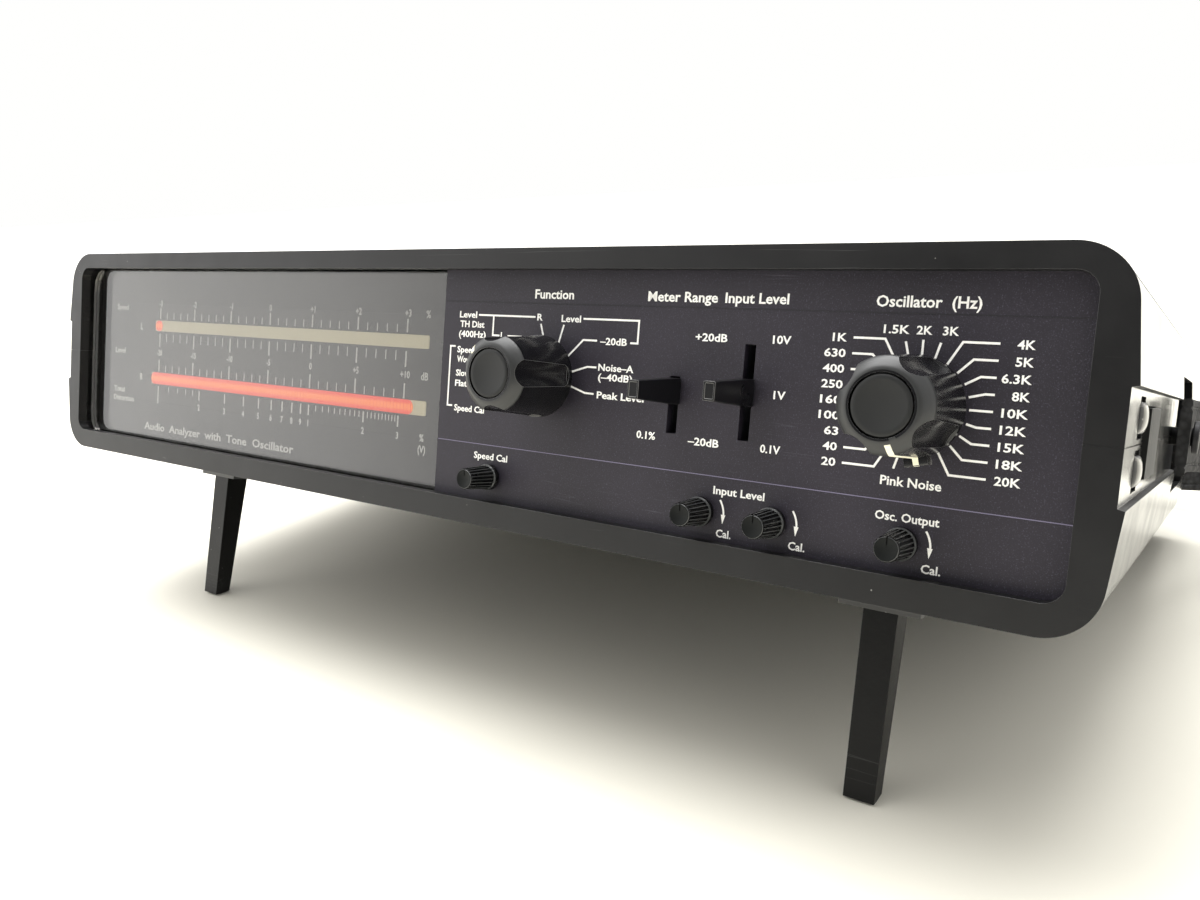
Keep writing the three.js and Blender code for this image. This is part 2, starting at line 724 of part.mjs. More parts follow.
function buildStrap() {
  const right = strapHalf.map(([x, y, z]) => new THREE.Vector3(x, y, z));
  const left = strapHalf.map(([x, y, z]) => new THREE.Vector3(-x, y, z)).reverse();
  const path = new THREE.CatmullRomCurve3([...right, ...left]);
  const steps = 72;
  const band = toSolid(standingBand(path, steps, STRAP.width, STRAP.thickness));
  const pinHole = STRAP_PIN.radius + GAP;
  const holes = Object.values(sides).map((side) => {
    const middle = side * STRAP.rootX;
    return barX(STRAP.pivotY, 0, middle - STRAP.thickness, middle + STRAP.thickness, pinHole);
  });
  add("carry_strap", cut(band, ...holes), strapVinyl);

  for (const [name, side] of Object.entries(sides)) {
    const headStart = STRAP.rootX + STRAP.thickness / 2 + GAP;
    const headEnd = headStart + STRAP_PIN.headLength;
    const span = (x0, x1) => (side > 0 ? [x0, x1] : [-x1, -x0]);
    const pin = join(
      barX(STRAP.pivotY, 0, ...span(headStart, headEnd), STRAP_PIN.headRadius),
      barX(STRAP.pivotY, 0, ...span(STRAP_PIN.innerEnd, headStart + STRAP_PIN.overlap), STRAP_PIN.radius),
    );
    add("strap_pivot_" + name, pin, steel);
  }
}

// ---------------------------------------------------------------- inside

function buildInside() {
  const board = MAIN_BOARD;
  add(
    "main_board",
    block([board.left, board.front, board.top - board.thickness], [board.right, board.back, board.top]),
    boardGreen,
  );
  const iron = TRANSFORMER;
  const floor = -CASE.innerHalfHeight + GAP;
  const halfWidth = iron.width / 2;
  const halfLength = iron.length / 2;
  const halfCore = iron.core / 2;
  const transformer = join(
    block(
      [iron.x - halfWidth, iron.y - halfCore / 2, floor],
      [iron.x + halfWidth, iron.y + halfCore / 2, floor + iron.height],
    ),
    block(
      [iron.x - halfCore, iron.y - halfLength, floor + iron.coilInset],
      [iron.x + halfCore, iron.y + halfLength, floor + iron.height - iron.coilInset],
    ),
  );
  add("power_transformer", transformer, transformerIron);
  const can = CAPACITOR;
  add(
    "smoothing_capacitor",
    barZ(can.x, can.y, board.top + GAP, board.top + can.height, can.radius, 20),
    capBlack,
  );
}

// ---------------------------------------------------------------- rear panel

function buildRear() {
  const panel = REAR_PANEL;
  const back = panel.front + panel.thickness;
  const halfInletWidth = INLET.width / 2;
  const halfInletHeight = INLET.height / 2;
  const through = [panel.front - OVER, back + OVER];
  let plate = toSolid(
    block([-panel.halfWidth, panel.front, -panel.halfHeight], [panel.halfWidth, back, panel.halfHeight]),
  );
  const window = (x, halfWidth, halfHeight) =>
    block([x - halfWidth - GAP, through[0], -halfHeight - GAP],
      [x + halfWidth + GAP, through[1], halfHeight + GAP]);
  plate = cut(
    plate,
    window(INLET.x, halfInletWidth, halfInletHeight),
    window(
      ROCKER.x,
      ROCKER.width / 2 + ROCKER_FRAME.wall,
      ROCKER.height / 2 + ROCKER_FRAME.wall,
    ),
    barY(FUSE.x, 0, ...through, FUSE.bodyRadius + GAP),
  );
  for (const x of Object.values(JACKS))
    plate = cut(plate, barY(x, JACK.height, ...through, JACK.barrelRadius + GAP));
  add("rear_panel", plate, anodised);

  // Mains inlet: a flanged shroud with three blades standing in its recess.
  const flangeBack = back + GAP + INLET.flangeLip;
  const halfFlange = INLET.flange / 2;
  const recessBack = flangeBack - INLET.recess;
  let inlet = join(
    block(
      [INLET.x - halfInletWidth, back - INLET.depth, -halfInletHeight],
      [INLET.x + halfInletWidth, flangeBack - OVER, halfInletHeight],
    ),
    block(
      [INLET.x - halfFlange, back + GAP, -halfInletHeight - INLET.flangeLip],
      [INLET.x + halfFlange, flangeBack, halfInletHeight + INLET.flangeLip],
    ),
  );
  inlet = cut(
    inlet,
    block(
      [INLET.x - halfInletWidth + INLET.wall, recessBack, -halfInletHeight + INLET.wall],
      [INLET.x + halfInletWidth - INLET.wall, flangeBack + OVER, halfInletHeight - INLET.wall],
    ),
  );
  for (const [dx, dz] of BLADE.places)
    inlet = join(
      inlet,
      block(
        [INLET.x + dx - BLADE.halfWidth, recessBack - OVER, dz - BLADE.halfHeight],
        [INLET.x + dx + BLADE.halfWidth, recessBack + BLADE.length, dz + BLADE.halfHeight],
      ),
    );
  add("mains_inlet", inlet, capBlack);

  // Power switch: a frame in the panel and a rocker that tips about X inside it.
  const rim = ROCKER_FRAME;
  const frameHalfWidth = ROCKER.width / 2 + rim.wall;
  const frameHalfHeight = ROCKER.height / 2 + rim.wall;
  const openHalfWidth = ROCKER.width / 2 + GAP;
  const openHalfHeight = ROCKER.height / 2 + rim.endPlay;
  const frame = cut(
    join(
      block([ROCKER.x - frameHalfWidth, back - rim.depth, -frameHalfHeight],
        [ROCKER.x + frameHalfWidth, back + OVER, frameHalfHeight]),
      block([ROCKER.x - frameHalfWidth - rim.lip, back + GAP, -frameHalfHeight - rim.lip],
        [ROCKER.x + frameHalfWidth + rim.lip, back + rim.lipBack, frameHalfHeight + rim.lip]),
    ),
    block([ROCKER.x - openHalfWidth, back - rim.cavity, -openHalfHeight],
      [ROCKER.x + openHalfWidth, back + rim.lipBack + OVER, openHalfHeight]),
  );
  add("power_switch", frame, capBlack);
  const rockerPivot = back - ROCKER.pivotDepth;
  const tall = ROCKER.height / 2 - ROCKER.play;
  const upperHalf = [
    [3.6, 0], // the dished middle
    [4.4, tall - 1.2],
    [0.6, tall],
    [-4, 2],
  ];
  const lowerHalf = upperHalf.slice(1).reverse().map(([y, z]) => [y, -z]);
  const rockerShape = polygon([...lowerHalf, ...upperHalf]);
  const rockerHalf = ROCKER.width / 2 - ROCKER.play;
  const rocker = prismX(rockerShape, ROCKER.x - rockerHalf, ROCKER.x + rockerHalf)
    .rotateX(-THREE.MathUtils.degToRad(ROCKER.swing))
    .translate(0, rockerPivot, 0);
  add("power_rocker", rocker, knobBlack);

  const fuse = join(
    barY(FUSE.x, 0, back - FUSE.length, back + OVER, FUSE.bodyRadius, 20),
    barY(FUSE.x, 0, back + GAP, back + FUSE.rimBack, FUSE.capRadius + FUSE.rim, 20),
  );
  add("fuse_holder", fuse, capBlack);
  const fuseCap = cut(
    barY(FUSE.x, 0, back + FUSE.rimBack + GAP, back + FUSE.capBack, FUSE.capRadius, 20),
    block(
      [FUSE.x - COIN_SLOT.halfLength, back + FUSE.capBack - COIN_SLOT.depth, -COIN_SLOT.halfWidth],
      [FUSE.x + COIN_SLOT.halfLength, back + FUSE.capBack + OVER, COIN_SLOT.halfWidth],
    ),
  );
  add("fuse_cap", fuseCap, capBlack);

  for (const [name, x] of Object.entries(JACKS)) {
    const jack = cut(
      join(
        barY(x, JACK.height, back - JACK.root, back + JACK.reach, JACK.barrelRadius, 20),
        barY(x, JACK.height, back + GAP, back + JACK.flangeBack, JACK.flangeRadius, 20),
      ),
      barY(x, JACK.height, back - JACK.socketDepth, back + JACK.reach + OVER, JACK.socketRadius, 12),
    );
    add(name, jack, brass);
  }
}

// ---------------------------------------------------------------- build

buildCase();
buildLatchPlates();
buildCaseScrews();
buildFront();
buildDial("function", FUNCTION_X, FUNCTION_SWITCH);
buildDial("oscillator", OSCILLATOR_X, OSCILLATOR_SWITCH);
for (const [name, x] of Object.entries(TRIM_NAMES)) buildTrimmer(name, x);
for (const [name, sizes] of Object.entries(SWITCHES)) buildSlideSwitch(name, sizes);
for (const [name, side] of Object.entries(sides)) {
  buildLeg(name, side);
  buildFoot(name, side);
}
buildStrap();
buildInside();
buildRear();

// The soles come to Z = 0 and the middle of the outline over the origin.
const analyser = new THREE.Group();
analyser.add(caseGroup);
analyser.updateMatrixWorld(true);
const bounds = new THREE.Box3().setFromObject(analyser, true);
caseGroup.position.set(0, -(bounds.min.y + bounds.max.y) / 2, -bounds.min.z);

export default analyser;
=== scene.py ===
"""The looks of a bench audio analyser: a low black case on two fold-out legs, with a smoked
window over a two-row bar graph, a control panel, a carrying strap and a rear connector panel.

Shapes are drawn in millimetres in the case's own frame: X to the right along the front, Y from
the front face to the back, Z up from the parting line. CASE then puts them in the row frame.
"""

import json
import math

import bmesh
import bpy
from mathutils import Euler, Matrix, Vector


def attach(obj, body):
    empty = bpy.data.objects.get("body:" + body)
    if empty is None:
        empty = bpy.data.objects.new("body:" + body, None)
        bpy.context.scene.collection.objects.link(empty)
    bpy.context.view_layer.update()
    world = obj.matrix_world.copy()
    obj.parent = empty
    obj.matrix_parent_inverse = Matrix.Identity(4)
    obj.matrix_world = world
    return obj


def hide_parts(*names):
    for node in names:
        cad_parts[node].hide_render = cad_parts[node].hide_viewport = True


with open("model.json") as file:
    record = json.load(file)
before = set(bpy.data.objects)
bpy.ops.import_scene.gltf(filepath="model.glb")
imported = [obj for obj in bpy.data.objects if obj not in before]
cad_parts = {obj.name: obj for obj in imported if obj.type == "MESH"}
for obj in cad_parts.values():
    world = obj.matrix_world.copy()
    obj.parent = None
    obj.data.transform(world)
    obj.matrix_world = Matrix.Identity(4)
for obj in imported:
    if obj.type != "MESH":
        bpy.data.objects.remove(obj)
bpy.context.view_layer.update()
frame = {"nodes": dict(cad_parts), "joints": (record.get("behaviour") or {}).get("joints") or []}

# ---- the case's frame

MM = 0.001
FUNCTION_TURN = Vector((40.4, -8, 3.55))  # where the function dial's joint sits in the case

joints = {joint["name"]: joint for joint in frame["joints"]}
case_y = Vector(joints["function_turn"]["axis"])
case_z = Vector(joints["meter_range_slide"]["axis"])
lean = Matrix((case_y.cross(case_z), case_y, case_z)).transposed().to_4x4()
case_origin = Vector(joints["function_turn"]["pos_m"]) - lean @ (FUNCTION_TURN * MM)
CASE = Matrix.Translation(case_origin) @ lean @ Matrix.Scale(MM, 4)
IN_CASE_MM = CASE.inverted()

# ---- driving dimensions, in mm

HALF_WIDTH = 150
HALF_HEIGHT = 30
DEPTH = 205
SIDES = {"left": -1, "right": 1}
DRAFT = 0.1  # the side walls lean in by this much for each millimetre of height
CORNER = 9.5
INNER = {"half_width": 144.8, "half_height": 27.5, "corner": 8}
RIM = 2.7  # thickness of the frame round the front and rear openings
FRONT_OPENING = {"left": -142.5, "bottom": -24.6, "right": 142.5, "top": 25.7, "radius": 3.5}
REAR_OPENING = {"left": -134, "bottom": -21, "right": 134, "top": 21, "radius": 4}
SEAM = 0.012  # half the width of the parting line
PARTING = {"half_height": 0.11, "floor": 147.75, "front": 1.4}  # line along the side walls
CASE_EDGE = 0.45  # rounding of the case's edges

GROOVE = {"floor": 148, "half_height": 8.9, "mouth": 9.6, "end": 129}
POCKET = {"floor": 140, "front": 128, "back": 180, "half_height": 15, "wall": 2.5}
LATCH = {"front": 30, "back": 51, "half_height": 6.5, "depth": 1.7}
LUG = {"half_height": 2.6, "middle": 4.4, "rise": 1.0}
LUG_STAGES = [(18.5, 0.04), (19.2, 0.5), (20.4, 0.82), (22.2, 1.0), (24.4, 0.96), (25, 0.8)]
LUG_SLOT = {"front": 17.9, "back": 27, "half_height": 3.5, "depth": 0.6}
RIB = {"first": 1.6, "pitch": 2.3, "channel": 1.3, "depth": 0.6, "count": 8}
PLATE = {"inside": 146.6, "outside": 149, "front": 30.3, "back": 50.7, "half_height": 6.2}
STRAP_BOSS = {"face": 140.8, "y": 116, "half": 7}
CASE_SCREWS = {
    "case_screw_front_left": (-138.5, 17),
    "case_screw_front_right": (138.5, 17),
    "case_screw_rear_left": (-130, 190),
    "case_screw_rear_right": (130, 190),
}
SCREW_HEAD = [(0, 0), (1.6, 0.1), (2.6, 0.45), (3, 1), (3, 2.2), (1.5, 2.2)]  # (radius, height)
SCREW_TIP = [(1.5, 12), (0, 12)]
SCREW_DEPTH = 0.5  # from the case's underside to the screw's head
SCREW_SLOT = {"half_length": 1.7, "half_width": 0.25, "depth": 1.3}
SCREW_WELL = {"radius": 3.3, "depth": 3}

PANEL_LEFT = 9.95
PANEL_FRONT = 3
WINDOW_BACK = 6.5
TUBE = {"left": -124, "right": 7.5, "bottom": -14, "top": 16, "front": 7.6, "back": 13.6}

DIAL_HEIGHT = 3.55
FUNCTION_X = 40.4
OSCILLATOR_X = 117.1
TRIM_HEIGHT = -19.4
TRIMS = {"speed_cal": 26.4, "input_left": 79, "input_right": 93.5, "osc_output": 116.9}
LEVERS = {"meter_range": (71.05, 2.75), "input_level": (86.3, 3.55)}

INK_LIFT = 0.02  # printed ink stands this far off the panel
INK_DEPTH = 0.05
CAP_SHARE = 0.73  # height of a capital as a share of the font's size
CONDENSED = 0.86
SEGMENT_PITCH = 1.16

# ---- mesh tools


def place(u, v, along, axis):
    """A point from its two outline coordinates and its distance along the axis."""
    return {"X": (along, u, v), "Y": (u, along, v), "Z": (u, v, along)}[axis]


def loft(mesh, rings):
    """A closed body through rings of points that match one by one."""
    layers = [[mesh.verts.new(point) for point in ring] for ring in rings]
    mesh.faces.new(layers[0])
    mesh.faces.new(layers[-1][::-1])
    for first, second in zip(layers, layers[1:]):
        for i in range(len(first)):
            j = (i + 1) % len(first)
            mesh.faces.new((first[j], first[i], second[i], second[j]))


def prism(mesh, outline, axis, low, high):
    """Stretches a closed outline along an axis. The outline is in (Y, Z), (X, Z) or (X, Y)."""
    loft(mesh, [[place(u, v, along, axis) for u, v in outline] for along in (low, high)])


def lathe(mesh, profile, x, z, axis, steps):
    """Turns a profile of (radius, distance along the axis) round the axis through (x, z)."""
    rings = []
    for radius, along in profile:
        angles = [2 * math.pi * i / steps for i in range(steps if radius else 1)]
        points = [(x + radius * math.cos(a), z + radius * math.sin(a)) for a in angles]
        rings.append([mesh.verts.new(place(u, v, along, axis)) for u, v in points])
    for first, second in zip(rings, rings[1:]):
        for i in range(steps):
            j = (i + 1) % steps
            corners = [first[i % len(first)], first[j % len(first)]]
            corners += [second[j % len(second)], second[i % len(second)]]
            corners = list(dict.fromkeys(corners))
            if len(corners) > 2:
                mesh.faces.new(corners)


def moved(profile, along):
    return [(radius, along + distance) for radius, distance in profile]


def arc(x, y, radius, start, stop, steps=12):
    """Points along an arc, with its angles in degrees."""
    angles = [math.radians(start + (stop - start) * i / steps) for i in range(steps + 1)]
    return [(x + radius * math.cos(a), y + radius * math.sin(a)) for a in angles]


def rounded(left, bottom, right, top, radius, steps=12):
    return (
        arc(right - radius, top - radius, radius, 0, 90, steps)
        + arc(left + radius, top - radius, radius, 90, 180, steps)
        + arc(left + radius, bottom + radius, radius, 180, 270, steps)
        + arc(right - radius, bottom + radius, radius, 270, 360, steps)
    )


def rounded_about(x, z, half_width, half_height, radius, steps):
    return rounded(x - half_width, z - half_height, x + half_width, z + half_height, radius, steps)


def loft_of(rings):
    return lambda mesh: loft(mesh, rings)


def prism_of(outline, axis, low, high):
    return lambda mesh: prism(mesh, outline, axis, low, high)


def box_of(low, high):
    outline = [(low[0], low[2]), (high[0], low[2]), (high[0], high[2]), (low[0], high[2])]
    return prism_of(outline, "Y", low[1], high[1])


def lathe_of(profile, x, z, axis="Y", steps=72):
    return lambda mesh: lathe(mesh, profile, x, z, axis, steps)


def bar_of(x, z, start, stop, radius, axis="Y", steps=48):
    return lathe_of([(0, start), (radius, start), (radius, stop), (0, stop)], x, z, axis, steps)


def linked(name, data):
    piece = bpy.data.objects.new(name, data)
    bpy.context.scene.collection.objects.link(piece)
    return piece


def solid(name, *builders):
    """An object in the case frame from functions that each add a closed shape to its mesh."""
    mesh = bmesh.new()
    for build in builders:
        build(mesh)
    bmesh.ops.recalc_face_normals(mesh, faces=mesh.faces)
    data = bpy.data.meshes.new(name)
    mesh.to_mesh(data)
    mesh.free()
    return linked(name, data)


def evaluated(piece):
    """A mesh of a piece with its modifiers, or of a text."""
    graph = bpy.context.evaluated_depsgraph_get()
    return bpy.data.meshes.new_from_object(piece.evaluated_get(graph), depsgraph=graph)


def keep_evaluated(piece):
    """Turns a piece's modifiers into its mesh."""
    made, old = evaluated(piece), piece.data
    piece.modifiers.clear()
    piece.data = made
    bpy.data.meshes.remove(old)


def combine(target, operation, *builders):
    tools = [solid("tool", build) for build in builders]
    for tool in tools:
        modifier = target.modifiers.new("combine", "BOOLEAN")
        modifier.object = tool
        modifier.operation = operation
        modifier.solver = "EXACT"
    keep_evaluated(target)
    for tool in tools:
        bpy.data.objects.remove(tool)


def cut(target, *builders):
    combine(target, "DIFFERENCE", *builders)


def join(target, *builders):
    combine(target, "UNION", *builders)


def clean(piece, merged=0.002, flat=0.5, slivers=True):
    """Merges loose vertices and makes each flat face whole. flat is in degrees."""
    mesh = bmesh.new()
    mesh.from_mesh(piece.data)
    bmesh.ops.remove_doubles(mesh, verts=mesh.verts, dist=merged)
    if slivers:
        bmesh.ops.dissolve_degenerate(mesh, edges=mesh.edges, dist=merged)
    limit = math.radians(flat)
    bmesh.ops.dissolve_limit(mesh, angle_limit=limit, verts=mesh.verts, edges=mesh.edges)
    mesh.to_mesh(piece.data)
    mesh.free()


def round_edges(piece, width, highlit=None):
    """Rounds a piece's edges, and with highlit gives them a lighter material of their own, a painted
    highlight.
    """
    bevel = piece.modifiers.new("rounded edges", "BEVEL")
    bevel.width = width
    bevel.segments = 3
    bevel.limit_method = "ANGLE"
    bevel.angle_limit = math.radians(32)
    bevel.miter_outer = "MITER_ARC"
    bevel.use_clamp_overlap = True
    if highlit:
        piece.data.materials.append(highlit)
        bevel.material = len(piece.data.materials) - 1


def even_shading(piece, weight=50):
    normals = piece.modifiers.new("even shading", "WEIGHTED_NORMAL")
    normals.keep_sharp = True
    normals.weight = weight


def dress(piece, materials, edge=0, shade=40, highlit=None):
    """Gives a piece its materials, its shading and rounded edges, whose width is in mm."""
    piece.data.materials.clear()
    for material in materials:
        piece.data.materials.append(material)
    piece.data.shade_smooth()
    piece.data.set_sharp_from_angle(angle=math.radians(shade))
    if edge:
        round_edges(piece, edge * MM, highlit)
        even_shading(piece, 80)


def seat(piece, body, replaces=()):
    """Puts a piece on its body, in place of its CAD nodes."""
    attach(piece, body)
    if replaces:
        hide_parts(*replaces)


def settle(piece, body, materials, replaces=(), edge=0, shade=40, highlit=None):
    """Finishes a piece drawn in the case frame and seats it in the row frame."""
    piece.data.transform(CASE)
    piece.data.update()
    dress(piece, materials, edge, shade, highlit)
    seat(piece, body, replaces)


def refined(node, body, material, edge):
    """A copy of a CAD node with its flat faces whole and its edges rounded."""
    piece = linked(node + "_shell", frame["nodes"][node].data.copy())
    clean(piece, merged=0.005 * MM, flat=1, slivers=False)
    dress(piece, [material], edge)
    seat(piece, body, [node])
    return piece


def printing(name, body, material, draw):
    """One piece of printed ink from a function that draws into a mesh."""
    settle(solid(name, draw), body, [material])


def finish_faces(piece, choose):
    """Gives each face the material that choose picks from its middle and normal in the case."""
    turn = lean.inverted()
    for face in piece.data.polygons:
        picked = choose(IN_CASE_MM @ face.center, (turn @ face.normal.to_4d()).to_3d())
        if picked is not None:
            face.material_index = picked


# ---- material tools


class Nodes:
    """A node tree and the call that adds a node to it, with its inputs set or linked."""

    def __init__(self, owner):
        owner.use_nodes = True
        self.tree = owner.node_tree

    def node(self, kind, inputs, **settings):
        made = self.tree.nodes.new(kind)
        for key, value in settings.items():
            setattr(made, key, value)
        for key, value in inputs.items():
            self.feed(made.inputs[key], value)
        return made

    def feed(self, socket, value):
        if isinstance(value, bpy.types.NodeSocket):
            self.tree.links.new(value, socket)
        else:
            socket.default_value = value


class Shader(Nodes):
    """One material, its Principled shader and short calls that add nodes before it."""

    def __init__(self, name, colour, roughness, metallic=0.0, gloss=0.5):
        self.material = bpy.data.materials.new(name)
        super().__init__(self.material)
        self.surface = self.tree.nodes["Principled BSDF"]
        self.give("Base Color", (*colour, 1))
        self.give("Roughness", roughness)
        self.give("Metallic", metallic)
        self.give("Specular IOR Level", gloss)
        self.position = self.case_position()

    def give(self, socket, value):
        self.feed(self.surface.inputs[socket], value)

    def case_position(self):
        """Each point's place in the case frame, in millimetres."""
        where = self.node("ShaderNodeTexCoord", {}).outputs["Object"]
        shift, turn, scale = IN_CASE_MM.decompose()
        settings = {"Vector": where, "Location": shift, "Rotation": turn.to_euler(), "Scale": scale}
        return self.node("ShaderNodeMapping", settings).outputs[0]

    def stretched(self, scale, turn=(0, 0, 0)):
        settings = {"Vector": self.position, "Scale": scale, "Rotation": Euler(turn)}
        return self.node("ShaderNodeMapping", settings).outputs[0]

    def noise(self, scale, detail=3, vector=None):
        settings = {"Vector": vector or self.position, "Scale": scale, "Detail": detail}
        return self.node("ShaderNodeTexNoise", settings).outputs[0]

    def cells(self, scale):
        settings = {"Vector": self.position, "Scale": scale}
        return self.node("ShaderNodeTexVoronoi", settings).outputs["Distance"]

    def between(self, value, low, high, to_low=0.0, to_high=1.0):
        settings = {
            "Value": value, "From Min": low, "From Max": high, "To Min": to_low, "To Max": to_high}
        return self.node("ShaderNodeMapRange", settings).outputs[0]

    def maths(self, operation, first, second=0.0):
        return self.node("ShaderNodeMath", {0: first, 1: second}, operation=operation).outputs[0]

    def off_from(self, value, middle):
        return self.maths("ABSOLUTE", self.maths("SUBTRACT", value, middle))

    def axis(self, name):
        return self.node("ShaderNodeSeparateXYZ", {0: self.position}).outputs[name]

    def mixed(self, share, first, second):
        colours = [(*value, 1) if isinstance(value, tuple) else value for value in (first, second)]
        settings = {0: share, 6: colours[0], 7: colours[1]}
        return self.node("ShaderNodeMix", settings, data_type="RGBA").outputs[2]

    def marked(self, shade, marks, share, colour):
        """A shade with a colour laid over it where there are marks."""
        return self.mixed(self.maths("MULTIPLY", marks, share), shade, colour)

    def toned(self, field, colour, dark, light, low=0.3, high=0.7):
        """A colour that goes from a darker to a lighter tone with a field of numbers."""
        return self.mixed(self.between(field, low, high), tinted(colour, dark), tinted(colour, light))

    def glow(self, colour, strength=1.0):
        self.give("Emission Color", colour)
        self.give("Emission Strength", strength)

    def finished(self, colour=None, roughness=None, *bumps):
        """The material, with its colour, its roughness and height maps, each with a depth in mm."""
        if colour:
            self.give("Base Color", colour)
        if roughness:
            self.give("Roughness", roughness)
        normal = None
        for height, depth in bumps:
            settings = {"Height": height, "Distance": depth * MM, "Strength": 1.0}
            settings.update({"Normal": normal} if normal else {})
            normal = self.node("ShaderNodeBump", settings).outputs[0]
            self.give("Normal", normal)
        return self.material

    def hairlines(self, spacing, turn, shift):
        """Sparse fine scratches: thin crossings of a stretched noise, masked to a few places."""
        lines = self.stretched((0.02 / spacing, 1.0 / spacing, 1.0 / spacing), (0.3, turn, turn))
        thin = self.between(self.off_from(self.noise(1.0, 1, lines), 0.5), 0.0, 0.006, 1, 0)
        places = self.noise(1.0, 2, self.stretched((0.05, 0.05, 0.05), (shift, 0, shift)))
        return self.maths("MULTIPLY", thin, self.between(places, 0.56, 0.66))

    def dust(self):
        """Small round specks in a few places."""
        dots = self.between(self.cells(0.42), 0.05, 0.07, 1, 0)
        return self.maths("MULTIPLY", dots, self.between(self.noise(0.42, 0), 0.62, 0.66))

    def segments(self, share):
        """1 on each bar segment and less in the thin gap after it."""
        step = self.maths("FRACT", self.maths("DIVIDE", self.axis("X"), SEGMENT_PITCH))
        edge = self.off_from(step, 0.5)
        return self.between(edge, share * 0.5 - 0.08, share * 0.5 + 0.02, 1.0, 0.0)


def tinted(colour, share):
    return tuple(min(1.0, channel * share) for channel in colour)


# ---- materials


def moulded(name, colour, roughness, *, gloss=0.5, grain=0.5, depth=0.012, scratched=True, dusty=True):
    """Moulded plastic with a fine spark-eroded grain, faint cloudiness, hairlines and dust."""
    shader = Shader(name, colour, roughness, gloss=gloss)
    shade = shader.toned(shader.noise(0.045, 4), colour, 0.82, 1.22)
    if scratched:
        shade = shader.marked(shade, shader.hairlines(2.4, 0.6, 3.0), 0.5, (0.16, 0.16, 0.16))
    if dusty:
        shade = shader.marked(shade, shader.dust(), 0.45, (0.45, 0.44, 0.42))
    rough = shader.between(shader.noise(0.12, 3), 0.3, 0.7, roughness - 0.04, roughness + 0.05)
    return shader.finished(shade, rough, (shader.noise(1.0 / grain, 2), depth))


def glossy(name, colour, roughness):
    """Polished plastic: slight moulding waves and fine handling marks."""
    shader = Shader(name, colour, roughness)
    smear = shader.noise(0.35, 4)
    rough = shader.between(smear, 0.3, 0.75, roughness * 0.85, roughness * 1.25)
    return shader.finished(shader.toned(smear, colour, 0.8, 1.3, 0.35), rough)


def spun(name, colour, roughness, metallic, centre=None, depth=0.006):
    """Turned or brushed finish. With a centre (x, z) the marks run in rings round it."""
    shader = Shader(name, colour, roughness, metallic)
    if centre:
        x = shader.maths("SUBTRACT", shader.axis("X"), centre[0])
        z = shader.maths("SUBTRACT", shader.axis("Z"), centre[1])
        squares = [shader.maths("MULTIPLY", value, value) for value in (x, z)]
        radius = shader.maths("SQRT", shader.maths("ADD", *squares))
        where = shader.node("ShaderNodeCombineXYZ", {0: radius, 1: 0.0, 2: 0.0}).outputs[0]
        marks = shader.noise(9.0, 3, where)
    else:
        marks = shader.noise(1.0, 3, shader.stretched((0.15, 6.0, 6.0)))
    rough = shader.between(marks, 0.3, 0.7, roughness * 0.75, roughness * 1.3)
    return shader.finished(shader.toned(marks, colour, 0.85, 1.15), rough, (marks, depth))


def panel_paint():
    """Dark violet-grey textured paint with a fine sparkle, faded hairlines and rubbed patches."""
    colour = (0.0165, 0.0138, 0.0215)
    shader = Shader("panel_paint", colour, 0.55, gloss=0.42)
    grains = shader.noise(4.4, 2)
    shade = shader.toned(shader.noise(0.05, 3), colour, 0.86, 1.2)
    shade = shader.marked(shade, shader.between(grains, 0.56, 0.74), 0.45, (0.10, 0.09, 0.13))
    shade = shader.marked(shade, shader.hairlines(1.7, 1.1, 7.0), 0.3, (0.16, 0.15, 0.19))
    return shader.finished(shade, shader.between(grains, 0.3, 0.7, 0.46, 0.62), (grains, 0.02))


def smoked_window():
    shader = Shader("smoked_acrylic", (0.66, 0.65, 0.62), 0.035)
    shader.give("Transmission Weight", 1.0)
    shader.give("IOR", 1.6)
    return shader.finished(None, shader.between(shader.noise(0.1, 4), 0.35, 0.75, 0.02, 0.07))


def lit_segments(name, bar):
    """Glowing gas: a pale core along the middle of the row, with a faint rib for each segment."""
    edge, core = (1.1, 0.055, 0.015), (1.28, 0.31, 0.035)
    shader = Shader(name, (0.02, 0.01, 0.01), 0.4)
    off = shader.off_from(shader.axis("Z"), bar["middle"])
    heart = shader.between(off, bar["half"] * 0.30, bar["half"] * 0.62, 1.0, 0.0)
    lit = shader.mixed(heart, edge, core)
    shader.glow(shader.mixed(shader.segments(0.86), tinted(edge, 0.93), lit))
    return shader.finished()


def unlit_segments():
    colour = (0.50, 0.455, 0.31)
    shader = Shader("unlit_phosphor", colour, 0.55)
    ribs = shader.segments(0.9)
    tone = shader.mixed(ribs, tinted(colour, 0.86), colour)
    cloud = shader.between(shader.noise(0.15, 3), 0.3, 0.7)
    # The unlit segments glow faintly; this glow is painted light.
    shader.glow(tone, 0.48)
    return shader.finished(shader.mixed(cloud, tone, tinted(colour, 1.08)), None, (ribs, 0.02))


def printed(name, colour, glow=0.0):
    """Screen-printed ink, a little uneven; with glow it also gives off a faint painted light."""
    shader = Shader(name, colour, 0.6)
    shade = shader.toned(shader.noise(2.2, 3), colour, 0.86, 1)
    if glow:
        shader.glow(shade, glow)
    return shader.finished(shade)


